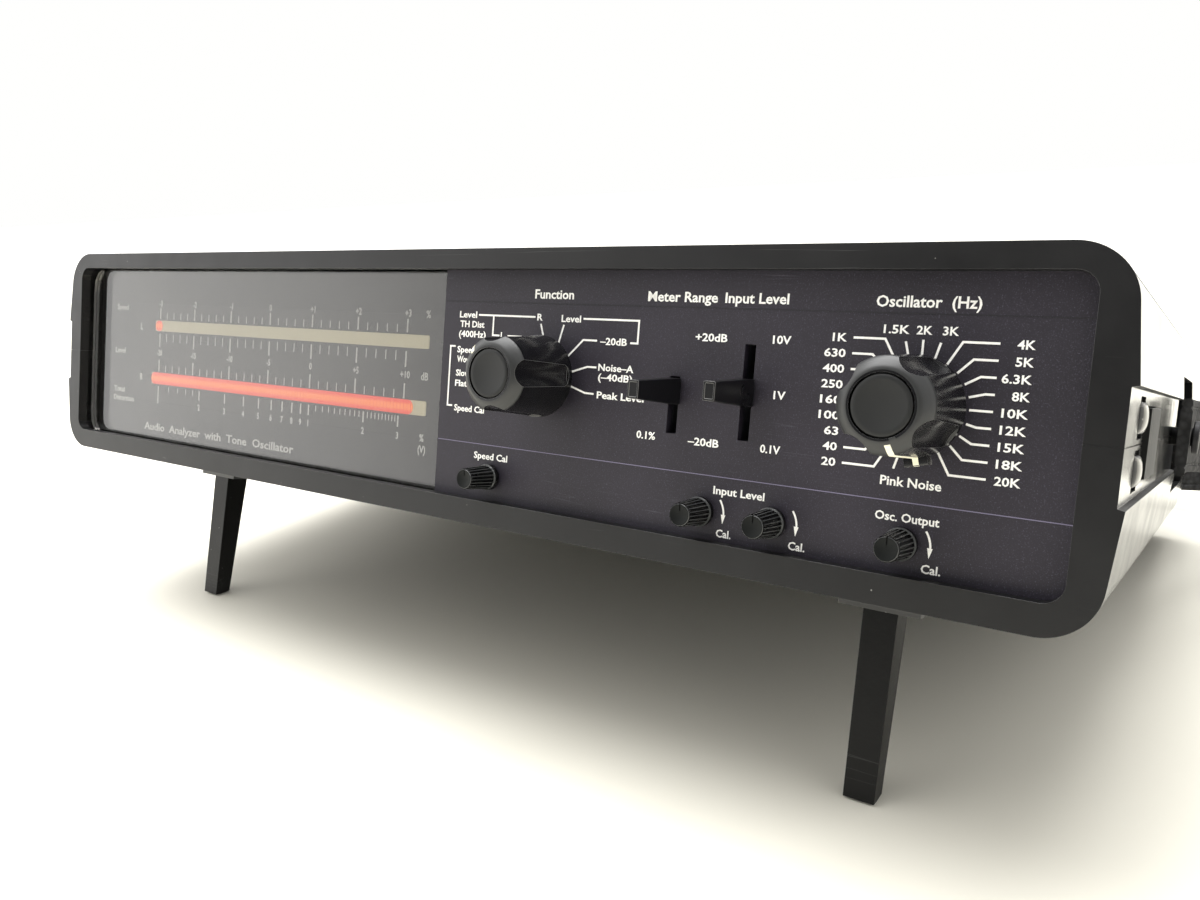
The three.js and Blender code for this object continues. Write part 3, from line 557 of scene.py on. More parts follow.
def vinyl():
    """Black embossed vinyl: a pebbled hide grain over a softer quilted swell, each pebble painted
    lighter on its top and darker in the creases round it as painted highlight and shade.
    """
    colour = (0.028, 0.028, 0.029)
    shader = Shader("strap_vinyl", colour, 0.75, gloss=0.25)
    pebbles = shader.cells(0.55)
    swell = shader.noise(0.16, 2)
    domes = shader.between(pebbles, 0.0, 0.7, 1.0, 0.0)
    # The pebble tone, lighter on the dome tops and darker in the creases, is painted highlight and
    # shade.
    return shader.finished(
        shader.toned(pebbles, colour, 1.5, 0.6, 0.1, 0.8), shader.between(swell, 0.3, 0.7, 0.66, 0.85),
        (swell, 0.5), (domes, 0.22), (shader.noise(4.0, 2), 0.03))


def rubbery():
    colour = (0.016, 0.016, 0.016)
    shader = Shader("foot_rubber", colour, 0.8)
    grain = shader.noise(1.8, 3)
    return shader.finished(shader.toned(grain, colour, 0.7, 1.6), None, (grain, 0.05))


def board_green():
    colour = (0.018, 0.10, 0.045)
    shader = Shader("circuit_board", colour, 0.35)
    edge = shader.between(shader.cells(0.35), 0.30, 0.36)
    return shader.finished(shader.mixed(edge, colour, (0.05, 0.2, 0.09)), None, (edge, 0.035))


def side_gloss():
    """The case's plastic where its side walls are polished, with a slightly lighter colour and a warm
    reflection tint that are painted light.
    """
    made = moulded("side_black", (0.013, 0.013, 0.013), 0.14, grain=3.0, depth=0.004, dusty=False)
    # The warm specular tint paints the colour of warm surroundings into the walls' reflection.
    made.node_tree.nodes["Principled BSDF"].inputs["Specular Tint"].default_value = (1.0, 0.96, 0.89, 1)
    return made


SMOOTH = {"scratched": False, "dusty": False}

case_black = moulded("case_black", (0.0075, 0.0075, 0.0082), 0.38, gloss=0.38)
# case_edge_sheen: glossier plastic on the case's rounded edges; the gloss is its own, its lighter colour
# is a painted highlight.
case_edge_sheen = moulded("case_edge_sheen", (0.042, 0.042, 0.042), 0.24, gloss=0.9, **SMOOTH)
side_black = side_gloss()
leg_black = moulded("leg_black", (0.003, 0.0031, 0.0032), 0.36, gloss=0.25, grain=0.8, depth=0.03)
bracket_grey = moulded("bracket_grey", (0.045, 0.045, 0.045), 0.38, scratched=False)
latch_black = moulded("latch_black", (0.008, 0.008, 0.008), 0.6, gloss=0.25)
paint = panel_paint()
window_smoke = smoked_window()
knob_gloss = glossy("knob_gloss", (0.005, 0.005, 0.006), 0.2)
lever_black = moulded(
    "lever_black", (0.004, 0.004, 0.005), 0.3, gloss=0.35, grain=0.35, depth=0.015, **SMOOTH)
cap_matte = moulded(
    "cap_matte", (0.0105, 0.0112, 0.0115), 0.5, gloss=0.38, grain=0.3, depth=0.01, scratched=False)
flute_black = moulded(
    "small_knob", (0.005, 0.005, 0.0052), 0.26, gloss=0.4, grain=0.3, depth=0.006, scratched=False)
face_black = moulded("knob_face", (0.006, 0.007, 0.007), 0.5, gloss=0.15, grain=0.3, scratched=False)
# ridge_glint: a lighter grey for the tops of the small knobs' ridges and the rim of their face, a
# painted highlight.
ridge_glint = moulded("ridge_glint", (0.055, 0.058, 0.058), 0.3, grain=0.3, scratched=False)
# edge_glint: a lighter grey laid on the rounded edges of the dials, levers and latches as a painted
# highlight.
edge_glint = moulded("edge_glint", (0.13, 0.13, 0.127), 0.34, grain=0.3, scratched=False)
mask_black = moulded("mask_black", (0.008, 0.008, 0.008), 0.6, **SMOOTH)
tube_dark = moulded("tube_backing", (0.010, 0.010, 0.010), 0.5, **SMOOTH)
switch_grey = moulded("switch_grey", (0.05, 0.052, 0.058), 0.5, scratched=False)
# The glow given to these inks is painted light that brightens the print.
ink = printed("legend_ink", (0.90, 0.89, 0.85), glow=0.12)
scale_ink = printed("scale_ink", (0.60, 0.60, 0.58), glow=0.22)
cream = printed("pointer_cream", (0.92, 0.88, 0.70), glow=0.1)
rule_ink = printed("panel_rule", (0.19, 0.17, 0.26))
dark_rule = printed("panel_dark_rule", (0.010, 0.009, 0.014))
thread = printed("strap_thread", (0.02, 0.02, 0.021))
zinc = spun("zinc", (0.60, 0.60, 0.61), 0.28, 1.0)
nickel = spun("nickel", (0.66, 0.63, 0.56), 0.2, 1.0)
brass = spun("brass", (0.62, 0.46, 0.20), 0.25, 1.0)
iron = spun("transformer_iron", (0.22, 0.15, 0.07), 0.45, 0.6)
rear_black = spun("rear_plate", (0.018, 0.018, 0.019), 0.42, 0.2, depth=0.01)
screw_black = spun("blackened_steel", (0.018, 0.018, 0.02), 0.5, 0.2)
strap_black = vinyl()
foot_black = rubbery()
board = board_green()
unlit = unlit_segments()
jack_red = glossy("jack_red", (0.35, 0.012, 0.010), 0.25)
jack_white = glossy("jack_white", (0.55, 0.54, 0.5), 0.25)

# ---- case halves


def side_block(side, x, y, half_height, middle=0):
    """A block in one side wall, from its X span on the right, its Y span and its heights."""
    left, right = x if side > 0 else (-x[1], -x[0])
    return box_of((left, y[0], middle - half_height), (right, y[1], middle + half_height))


def case_outline():
    """The case's section: leaning side walls with a crease at mid height, round corners."""
    tilt = math.degrees(math.atan(DRAFT))
    z = HALF_HEIGHT - CORNER
    x = HALF_WIDTH - DRAFT * z - CORNER / math.cos(math.radians(tilt))
    steps = 20
    return (
        [(HALF_WIDTH, 0)]
        + arc(x, z, CORNER, tilt, 90, steps)
        + arc(-x, z, CORNER, 90, 180 - tilt, steps)
        + [(-HALF_WIDTH, 0)]
        + arc(-x, -z, CORNER, 180 + tilt, 270, steps)
        + arc(x, -z, CORNER, -90, -tilt, steps)
    )


def opening_of(opening, low, high):
    sides = [opening[key] for key in ("left", "bottom", "right", "top", "radius")]
    return prism_of(rounded(*sides, 8), "Y", low, high)


def lug_of(side, middle):
    """A half-round lug that swells from the groove floor towards its back."""
    root, half = side * (GROOVE["floor"] - 1), LUG["half_height"]
    rings = []
    for y, share in LUG_STAGES:
        rise = LUG["rise"] * share
        bow = arc(0, middle, half, -90, 90, 20)
        ring = [(side * (GROOVE["floor"] + u / half * rise), y, w) for u, w in bow]
        rings.append(ring + [(root, y, middle + half), (root, y, middle - half)])
    return loft_of(rings)


def make_side(shell, side):
    """Works the strap recess, the groove and the latch recesses into one side wall."""
    outside, inside = HALF_WIDTH + 1, INNER["half_width"] + 1
    wall, boss = POCKET["wall"], STRAP_BOSS["half"]
    pocket_y = (POCKET["front"], POCKET["back"])
    join(
        shell,
        side_block(
            side, (POCKET["floor"] - wall, inside), (pocket_y[0] - wall, pocket_y[1] + wall),
            POCKET["half_height"] + wall),
        side_block(
            side, (STRAP_BOSS["face"], inside), (STRAP_BOSS["y"] - boss, STRAP_BOSS["y"] + boss), boss),
    )
    floor, half, mouth = side * GROOVE["floor"], GROOVE["half_height"], GROOVE["mouth"]
    groove = [(floor, -half), (side * outside, -mouth), (side * outside, mouth), (floor, half)]
    latch_x = (GROOVE["floor"] - LATCH["depth"], GROOVE["floor"] + 1)
    cut(
        shell,
        prism_of(groove, "Y", -1, GROOVE["end"]),
        side_block(side, (POCKET["floor"], outside), pocket_y, POCKET["half_height"]),
        side_block(side, latch_x, (LATCH["front"], LATCH["back"]), LATCH["half_height"]),
    )
    slot_x = (GROOVE["floor"] - LUG_SLOT["depth"], outside)
    slot_y = (LUG_SLOT["front"], LUG_SLOT["back"])
    middles = (-LUG["middle"], LUG["middle"])
    for middle in middles:
        cut(shell, side_block(side, slot_x, slot_y, LUG_SLOT["half_height"], middle))
    join(shell, *[lug_of(side, middle) for middle in middles])


def make_case():
    shell = solid("case", prism_of(case_outline(), "Y", 0, DEPTH))
    inner = rounded_about(0, 0, INNER["half_width"], INNER["half_height"], INNER["corner"], 12)
    cut(shell, prism_of(inner, "Y", RIM, DEPTH - RIM))
    for side in SIDES.values():
        make_side(shell, side)
    cut(shell, opening_of(FRONT_OPENING, -1, RIM + 1))
    cut(shell, opening_of(REAR_OPENING, DEPTH - RIM - 1, DEPTH + 1))
    line_x = (PARTING["floor"], HALF_WIDTH + 1)
    line_y = (PARTING["front"], DEPTH - PARTING["front"])
    for side in SIDES.values():
        cut(shell, side_block(side, line_x, line_y, PARTING["half_height"]))
    clean(shell)
    shell.data.materials.append(case_black)
    # The rounded edges of the case take the lighter edge material, a painted highlight.
    round_edges(shell, CASE_EDGE, case_edge_sheen)
    keep_evaluated(shell)
    wells = [
        bar_of(x, y, -HALF_HEIGHT - 1, -HALF_HEIGHT + SCREW_WELL["depth"], SCREW_WELL["radius"], "Z", 32)
        for x, y in CASE_SCREWS.values()
    ]
    wide = HALF_WIDTH * 2
    halves = {"case_top": (SEAM, HALF_HEIGHT * 2), "case_bottom": (-HALF_HEIGHT * 2, -SEAM)}
    for node, (low, high) in halves.items():
        half = linked(node + "_shell", shell.data.copy())
        combine(half, "INTERSECT", box_of((-wide, -wide, low), (wide, wide, high)))
        if node == "case_bottom":
            cut(half, *wells)
        # Keeps which faces are rounded edges that carry the painted highlight.
        finishes_and_highlights = [1 if face.material_index == 1 else 0 for face in half.data.polygons]
        materials = [case_black, case_edge_sheen, side_black]
        settle(half, "case", materials, [node], shade=30)
        for face, finish in zip(half.data.polygons, finishes_and_highlights):
            # Faces facing sideways take side_black, whose lighter colour and warm reflection tint are
            # painted light.
            face.material_index = 2 if abs(face.normal.x) > 0.9 else finish
        even_shading(half)
    bpy.data.objects.remove(shell)


def make_case_screws():
    """Cross-headed screws, sunk in the underside of the case."""
    bottom = -HALF_HEIGHT + SCREW_DEPTH
    long, narrow = SCREW_SLOT["half_length"], SCREW_SLOT["half_width"]
    for node, (x, y) in CASE_SCREWS.items():
        profile = moved(SCREW_HEAD, bottom) + SCREW_TIP
        screw = solid(node + "_detail", lathe_of(profile, x, y, "Z", 36))
        cut(screw, *[
            box_of((x - w, y - d, bottom - 1), (x + w, y + d, bottom + SCREW_SLOT["depth"]))
            for w, d in ((long, narrow), (narrow, long))
        ])
        settle(screw, "case", [zinc], [node], edge=0.08)


# ---- lettering and rules


def letters(mesh, text, x, z, height, y, width=None):
    """Adds text to a mesh, centred on (x, z), with capitals of the height given."""
    curve = bpy.data.curves.new("text", "FONT")
    curve.body = text
    curve.size = height / CAP_SHARE
    curve.offset = 0.02 * curve.size  # makes the strokes bolder
    curve.align_x = "CENTER"
    curve.extrude = INK_DEPTH / 2
    curve.resolution_u = 2
    carrier = linked("text", curve)
    made = evaluated(carrier)
    span = [vertex.co.x for vertex in made.vertices]
    middle, natural = (max(span) + min(span)) / 2, max(span) - min(span)
    squeeze = width / natural if width else CONDENSED
    for vertex in made.vertices:
        across, up, out = vertex.co
        vertex.co = (x + (across - middle) * squeeze, y - out, z + up - height / 2)
    mesh.from_mesh(made)
    bpy.data.objects.remove(carrier)
    bpy.data.curves.remove(curve)
    bpy.data.meshes.remove(made)


def rule(mesh, points, y, width):
    """A printed line of even width through points in (X, Z)."""
    points = [Vector(point) for point in points]
    steps = [(b - a).normalized() for a, b in zip(points, points[1:])]
    lefts, rights = [], []
    for point, into, out_of in zip(points, steps[:1] + steps, steps + steps[-1:]):
        across = (into + out_of).orthogonal().normalized()
        reach = width / 2 / max(0.4, across.dot(into.orthogonal()))
        lefts.append(point + across * reach)
        rights.append(point - across * reach)
    prism(mesh, lefts + rights[::-1], "Y", y - INK_DEPTH / 2, y + INK_DEPTH / 2)


# ---- control panel

TITLE = 1.95  # heights of capitals
LABEL = 1.45
RULE = 0.38  # widths of lines
THIN_RULE = 0.16
PANEL_INK = PANEL_FRONT - INK_LIFT - INK_DEPTH / 2

TITLE_HEIGHT = 20.8
TITLES = {  # middle and width
    "Function": (40.75, 10.1),
    "Meter Range": (71.25, 15.2),
    "Input Level": (86.7, 12.6),
    "Oscillator  (Hz)": (117.2, 17.0),
}
LABELS = [  # middle, height and width
    ("+20dB", 78.15, 13.35, 6.7),
    ("–20dB", 78.2, -6.35, 6.55),
    ("10V", 92.3, 13.5, 3.5),
    ("1V", 92.75, 3.6, 2.3),
    ("0.1V", 91.85, -6.25, 3.9),
    ("0.1%", 65.5, -6.25, 4.3),
    ("Speed Cal", 26.15, -14.95, 9.6),
    ("Input Level", 86.4, -15.0, 10.4),
    ("Osc. Output", 117.3, -15.05, 10.7),
    ("Cal.", 84.0, -23.0, 3.1),
    ("Cal.", 98.5, -23.0, 3.15),
    ("Cal.", 122.0, -23.0, 3.2),
]
FUNCTION_LABELS = [
    ("Level", 17.2, 15.95, 5.1),
    ("TH Dist", 18.5, 13.85, 7.1),
    ("(400Hz)", 18.65, 11.65, 7.9),
    ("R", 37.35, 15.95, 1.4),
    ("L", 27.4, 11.7, 1.0),
    ("Level", 45.5, 15.85, 4.95),
    ("–20dB", 56.3, 11.6, 6.4),
    ("Noise–A", 57.3, 6.35, 8.4),
    ("(–40dB)", 57.3, 4.4, 8.2),
    ("Peak Level", 58.8, 0.75, 11.2),
    ("Speed", 17.2, 8.15, 5.4),
    ("Wow", 16.6, 6.0, 4.0),
    ("Slow", 16.6, 2.9, 4.2),
    ("Flat", 16.2, 0.6, 3.6),
    ("Speed Cal", 19.0, -4.95, 8.9),
]
ROW, LOW_ROW = 15.9, 11.6  # heights of the function legend's level lines
FUNCTION_LINES = [
    [(20.3, ROW), (36.1, ROW)],
    [(24.6, ROW), (24.6, LOW_ROW), (26.5, LOW_ROW)],
    [(28.8, LOW_ROW), (32.6, LOW_ROW), (34.6, 9.9)],
    [(37.7, 14.5), (38.6, 11.8)],
    [(43.75, 14.5), (42.6, 10.5)],
    [(48.6, ROW), (62.0, ROW), (62.0, LOW_ROW - 0.15), (60.3, LOW_ROW - 0.15)],
    [(52.3, LOW_ROW), (48.9, LOW_ROW), (45.1, 7.9)],
    [(52.6, 6.2), (50.4, 6.2), (46.3, 4.9)],
    [(52.4, 0.8), (50.2, 0.85), (46.6, 1.95)],
    [(13.9, 8.75), (12.45, 8.75), (12.45, -4.6), (13.9, -4.6)],
]

TONES_LEFT = ["1K", "630", "400", "250", "160", "100", "63", "40", "20"]
TONES_RIGHT = ["4K", "5K", "6.3K", "8K", "10K", "12K", "15K", "18K", "20K"]
TONES_TOP = {"1.5K": (-15, 112.55), "2K": (0, 117.15), "3K": (15, 121.35)}
TONE_TOP = 14.45  # height of the first label in either column
TONE_PITCH = 2.695
TONE_LEFT = 104.2  # right edge of the left column
TONE_RIGHT = 134.2  # right edge of the right column
TONE_TOP_ROW = 16.15
RULE_LEFT, RULE_RIGHT = 105.35, 129.0  # where the leaders end
TONE_STEP = 15  # degrees from one tone to the next
TONE_RADIUS, SPOKE_END = 8.3, 11.0
PINK_NOISE = {"angle": -165, "x": 117.3, "z": -9.1, "width": 10.1}
CHARACTER, POINT = 1.28, 0.6  # width of one digit, and what a point takes off it

ARROW = {"x": -0.2, "z": -0.25, "radius": 4.9, "start": 36, "stop": -2, "width": 0.34}
ARROW_HEAD = [(-0.5, 0.35), (0.4, 0.3), (-0.12, -1.4)]
PANEL_RULE, PANEL_DARK_RULE = -12.5, 18.8  # heights of the lines across the panel


def turned(x, angle, radius, spread=0.0):
    """A point at a clockwise angle from straight up, at a radius and a little to one side."""
    a = math.radians(angle)
    return (
        x + radius * math.sin(a) + spread * math.cos(a),
        DIAL_HEIGHT + radius * math.cos(a) - spread * math.sin(a),
    )


def spoke(mesh, angle):
    ends = [turned(OSCILLATOR_X, angle, radius) for radius in (TONE_RADIUS, SPOKE_END)]
    rule(mesh, ends, PANEL_INK, RULE)


def leader(mesh, angle, height, end):
    """A line that leaves the dial's rim radially and turns level towards its label."""
    start = turned(OSCILLATOR_X, angle, TONE_RADIUS)
    upward = math.cos(math.radians(angle))
    line = [(start[0], height), (end, height)]
    if abs(upward) > 0.05:
        line = [start, turned(OSCILLATOR_X, angle, (height - DIAL_HEIGHT) / upward), (end, height)]
    rule(mesh, line, PANEL_INK, RULE)


def draw_oscillator_legend(mesh):
    def label(tone, height, middle=None, edge=None, spare=0.0):
        width = CHARACTER * (len(tone) - POINT * tone.count(".")) + spare
        x = edge - width / 2 if edge else middle
        letters(mesh, tone, x, height, LABEL, PANEL_INK, width)

    for side, tones, edge, end, spare in (
        (-1, TONES_LEFT, TONE_LEFT, RULE_LEFT, 0.0),
        (1, TONES_RIGHT, TONE_RIGHT, RULE_RIGHT, 0.1),
    ):
        for i, tone in enumerate(tones):
            height = TONE_TOP - i * TONE_PITCH
            label(tone, height, edge=edge, spare=spare)
            leader(mesh, side * (2 + i) * TONE_STEP, height, end)
    for tone, (angle, x) in TONES_TOP.items():
        label(tone, TONE_TOP_ROW, middle=x)
        spoke(mesh, angle)
    spoke(mesh, PINK_NOISE["angle"])
    at = (PINK_NOISE["x"], PINK_NOISE["z"])
    letters(mesh, "Pink Noise", *at, LABEL * 1.1, PANEL_INK, PINK_NOISE["width"])


def draw_arrow(mesh, x):
    """A curved arrow beside a small knob that points clockwise to its calibrated end."""
    middle = (x + ARROW["x"], TRIM_HEIGHT + ARROW["z"])
    bow = arc(*middle, ARROW["radius"], ARROW["start"], ARROW["stop"], 8)
    rule(mesh, bow, PANEL_INK, ARROW["width"])
    head = [(bow[-1][0] + u, bow[-1][1] + w) for u, w in ARROW_HEAD]
    prism(mesh, head, "Y", PANEL_INK - INK_DEPTH / 2, PANEL_INK + INK_DEPTH / 2)


def draw_panel_legend(mesh):
    for text, (x, width) in TITLES.items():
        letters(mesh, text, x, TITLE_HEIGHT, TITLE, PANEL_INK, width)
    for text, x, z, width in LABELS:
        letters(mesh, text, x, z, LABEL * 1.04, PANEL_INK, width)
    for name in ("input_left", "input_right", "osc_output"):
        draw_arrow(mesh, TRIMS[name])
    for text, x, z, width in FUNCTION_LABELS:
        letters(mesh, text, x, z, LABEL, PANEL_INK, width)
    for points in FUNCTION_LINES:
        rule(mesh, points, PANEL_INK, RULE)
    draw_oscillator_legend(mesh)


def rule_across(height):
    ends = [(PANEL_LEFT + 0.3, height), (FRONT_OPENING["right"] - 0.3, height)]
    return lambda mesh: rule(mesh, ends, PANEL_INK, THIN_RULE)


def make_panel():
    refined("front_panel", "case", paint, 0.12)
    printing("panel_legend", "case", ink, draw_panel_legend)
    printing("panel_rule", "case", rule_ink, rule_across(PANEL_RULE))
    printing("panel_upper_rule", "case", dark_rule, rule_across(PANEL_DARK_RULE))


# ---- display window and bar graph

SCALE_LEFT, SCALE_RIGHT = -106.8, -3.95  # where -20 dB and +10 dB stand
LOWEST_DB, HIGHEST_DB = -20, 10
SCALE_INK = WINDOW_BACK + INK_LIFT + INK_DEPTH / 2
FINE, BOLD = 0.26, 0.46  # widths of ticks
DB_TICKS = [((11.3, 14.5), (11.3, 13.2)), ((3.1, 6.9), (4.6, 6.9)), ((-4.4, -0.8), (-4.4, -2.4))]
RATIO_TICKS = {"bold": (-11.4, -8.7), "first": (-13.9, -8.7), "fine": (-10.2, -8.7)}  # their heights
FIGURE = 1.75  # size of the scales' numbers
FIGURES = {"speed": 15.9, "level": 1.35, "ratio": -13.4}  # heights of their rows
SCALE_LABELS = [  # middle, height, size and width
    ("L", -116.6, 8.9, 2.1, None),
    ("R", -116.0, -6.3, 2.1, None),
    ("Speed", -127.3, 14.5, 1.7, 6.2),
    ("Level", -127.9, 1.2, 1.7, 5.6),
    ("Total", -128.0, -10.8, 1.7, 6.0),
    ("Distortion", -125.4, -13.5, 1.7, 11.2),
    ("%", 2.7, 15.8, 1.8, None),
    ("dB", 2.5, 1.3, 1.9, None),
    ("%", 2.6, -13.2, 1.8, None),
    ("(V)", 2.8, -15.9, 1.8, None),
    ("Audio  Analyzer  with  Tone  Oscillator", -78.5, -20.9, 2.3, 70),
]

BARS = {
    "upper": {
        "all": (-112.6, 1.3), "lit": (-112.4, -112.4 + 3 * SEGMENT_PITCH), "middle": 9.3, "half": 1.6,
        "inset": 0.1},
    "lower": {"all": (-113.9, 1.4), "lit": (-113.9, -2.8), "middle": -6.5, "half": 1.75, "inset": 0},
}
BAR_FACE = TUBE["front"] + 1.2
WINDOW_TRIM = {"from": -0.1, "by": 1.7 * MM}  # the left edge of the window, in metres
MASK = {  # black card round the bar graph
    "left": -143.5, "right": PANEL_LEFT - 0.6, "half_height": 25.8, "front": BAR_FACE + 0.02,
    "back": BAR_FACE + 0.42}


def draw_scales(mesh):
    def at_db(level):
        share = (level - LOWEST_DB) / (HIGHEST_DB - LOWEST_DB)
        return SCALE_LEFT + share * (SCALE_RIGHT - SCALE_LEFT)

    def ticks(levels, low, high, width):
        for level in levels:
            rule(mesh, [(at_db(level), low), (at_db(level), high)], SCALE_INK, width)

    def figures(levels, texts, height):
        for level, text in zip(levels, texts):
            letters(mesh, text, at_db(level), height, FIGURE, SCALE_INK)

    major = [-20, -15, -10, -5, 0, 5, 10]
    each = [LOWEST_DB + i for i in range(31)]
    figures(major, ["-3", "-2", "-1", "0", "+1", "+2", "+3"], FIGURES["speed"])
    figures(major, ["-20", "-15", "-10", "-5", "0", "+5", "+10"], FIGURES["level"])
    for bold, fine in DB_TICKS:
        ticks(major, *bold, BOLD)
        ticks(each, *fine, FINE)
    ratios = [0.1 * n for n in range(2, 10)] + [1, 2, 3]
    in_db = [20 * math.log10(ratio) for ratio in ratios]
    figures(in_db, "23456789123", FIGURES["ratio"])
    ticks(in_db, *RATIO_TICKS["bold"], BOLD)
    ticks([LOWEST_DB], *RATIO_TICKS["first"], BOLD)
    finer = [0.1 + 0.02 * n for n in range(5)] + [1 + 0.1 * n for n in range(1, 21)]
    ticks([20 * math.log10(ratio) for ratio in finer], *RATIO_TICKS["fine"], FINE)
    for text, x, z, height, width in SCALE_LABELS:
        letters(mesh, text, x, z, height, SCALE_INK, width)


def strip_of(span, middle, half, corner, depth, steps):
    """A rounded strip through the face of the bar graph's back plate."""
    outline = rounded(span[0], middle - half, span[1], middle + half, corner, steps)
    return prism_of(outline, "Y", BAR_FACE - depth[0], BAR_FACE + depth[1])


def make_display():
    window = refined("display_window", "case", window_smoke, 0.15)
    window.visible_shadow = False
    for vertex in window.data.vertices:
        if vertex.co.x < WINDOW_TRIM["from"]:
            vertex.co.x += WINDOW_TRIM["by"]
    printing("window_scales", "case", scale_ink, draw_scales)
    glass = box_of((TUBE["left"], BAR_FACE, TUBE["bottom"]), (TUBE["right"], TUBE["back"], TUBE["top"]))
    backing = solid("bar_graph_glass", glass)
    settle(backing, "case", [tube_dark], ["bar_graph_tube"], edge=0.3)
    high = MASK["half_height"]
    card = box_of((MASK["left"], MASK["front"], -high), (MASK["right"], MASK["back"], high))
    settle(solid("display_mask", card), "case", [mask_black], edge=0.1)
    for name, bar in BARS.items():
        strip = strip_of(bar["all"], bar["middle"], bar["half"], 0.4, (0.2, 0.2), 4)
        settle(solid(name + "_bar_segments", strip), "case", [unlit])
    for name, bar in reversed(BARS.items()):
        half = bar["half"] - bar["inset"]
        strip = strip_of(bar["lit"], bar["middle"], half, half * 0.98, (0.35, 0.3), 10)
        settle(solid(name + "_bar_lit", strip), "case", [lit_segments(name + "_glow", bar)])


# ---- big knobs

DIALS = {"function": (FUNCTION_X, -49), "oscillator": (OSCILLATOR_X, 166)}  # x, pointer's angle
FINE_STEPS = 96
KNOB_FRONT, KNOB_BACK = -16, 0
CAP_DISH = [(0, 0.22), (3.8, 0.16), (4.4, 0), (4.7, 0.2), (4.7, 1.4), (0, 1.4)]  # from the front
WELL = {"radius": 5.0, "depth": 1.7}  # what the cap sits in
BORE = {"radius": 3.3, "end": -11.3}
CONE = [(5.35, -16), (6.1, -15.62), (6.9, -15.0), (7.45, -14.35), (7.63, -13.9)]  # (radius, y)
BACK_RADIUS = 8.5
SCALLOP = {"radius": 4.6, "distance": 10.65, "spread": 0.1}
SCALLOP_END = [(-1.9, 1.0), (-1.2, 0.93), (-0.9, 0.78)]  # (y, share of the radius)
TAB = {"root": 7, "reach": 9.75, "half_width": 1.9, "front": -2.4}
POINTER = {"half_width": 0.46, "lift": 0.05, "root": 0.2, "start": (5.95, -15.72), "margin": 0.3}


def fin(x, angle, profile, half_width):
    """A slab that stands in a radial plane of a dial, from its outline in (radius, y)."""
    rings = []
    for spread in (-half_width, half_width):
        points = [(turned(x, angle, radius, spread), y) for radius, y in profile]
        rings.append([(u, y, w) for (u, w), y in points])
    return loft_of(rings)


def scallop(x, angle):
    """A round cutter that moves away from the dial's axis towards the back."""
    start = KNOB_FRONT - 1
    rings = []
    for y, share in [(start, 1.0)] + SCALLOP_END:
        middle = turned(x, angle, SCALLOP["distance"] + SCALLOP["spread"] * (y - start))
        rings.append([(u, y, w) for u, w in arc(*middle, SCALLOP["radius"] * share, 0, 355, 71)])
    return loft_of(rings)


def pointer_path():
    """Outline of the stripe over the cone, along the side and down the tab, in (radius, y)."""
    lift, root, margin = POINTER["lift"], POINTER["root"], POINTER["margin"]
    reach, front = TAB["reach"], TAB["front"]
    over_cone = [POINTER["start"]] + CONE[1:]
    end = BACK_RADIUS - 0.14
    return (
        [(r + lift * 0.6, y - lift) for r, y in over_cone]
        + [(end + lift, front - lift), (reach - margin, front - lift), (reach, front + margin)]
        + [(reach, KNOB_BACK - margin), (reach - root, KNOB_BACK - margin)]
        + [(reach - root - 0.2, front + root), (end - root, front + root)]
        + [(r - root, y + root) for r, y in reversed(over_cone)]
    )


def make_dial(name, x, pointer_angle):
    ring_finish = spun(name + "_ring", (0.0235, 0.0245, 0.025), 0.38, 0.0, (x, DIAL_HEIGHT), 0.004)
    well_floor = KNOB_FRONT + WELL["depth"]
    profile = (
        [(0, well_floor), (WELL["radius"], well_floor), (WELL["radius"], KNOB_FRONT)]
        + CONE
        + [(BACK_RADIUS, KNOB_BACK), (BORE["radius"], KNOB_BACK), (BORE["radius"], BORE["end"])]
        + [(0, BORE["end"])]
    )
    body = solid(name + "_knob_body", lathe_of(profile, x, DIAL_HEIGHT, steps=FINE_STEPS))
    root, reach, front = TAB["root"], TAB["reach"], TAB["front"]
    tab = [
        (root, KNOB_BACK), (root, front), (reach - 0.35, front), (reach - 0.1, front + 0.1),
        (reach, front + 0.4), (reach, KNOB_BACK),
    ]
    join(body, fin(x, pointer_angle, tab, TAB["half_width"]))
    for i in range(4):
        cut(body, scallop(x, pointer_angle + 45 + 90 * i))
    clean(body)
    dial = name + "_dial"
    # The dial's rounded edges take the lighter edge material, a painted highlight.
    settle(body, dial, [knob_gloss, ring_finish], [name + "_knob"], edge=0.2, shade=35,
        highlit=edge_glint)

    def on_ring(middle, normal):
        off = math.hypot(middle.x - x, middle.z - DIAL_HEIGHT)
        return 1 if normal.y < -0.3 and middle.y < CONE[-1][1] and off > WELL["radius"] else None

    finish_faces(body, on_ring)
    dish = lathe_of(moved(CAP_DISH, KNOB_FRONT), x, DIAL_HEIGHT, steps=FINE_STEPS)
    disc = solid(name + "_cap_disc", dish)
    settle(disc, dial, [cap_matte], [name + "_knob_cap"], shade=50)
    stripe = fin(x, pointer_angle, pointer_path(), POINTER["half_width"])
    printing(name + "_pointer", dial, cream, stripe)


# ---- small knobs

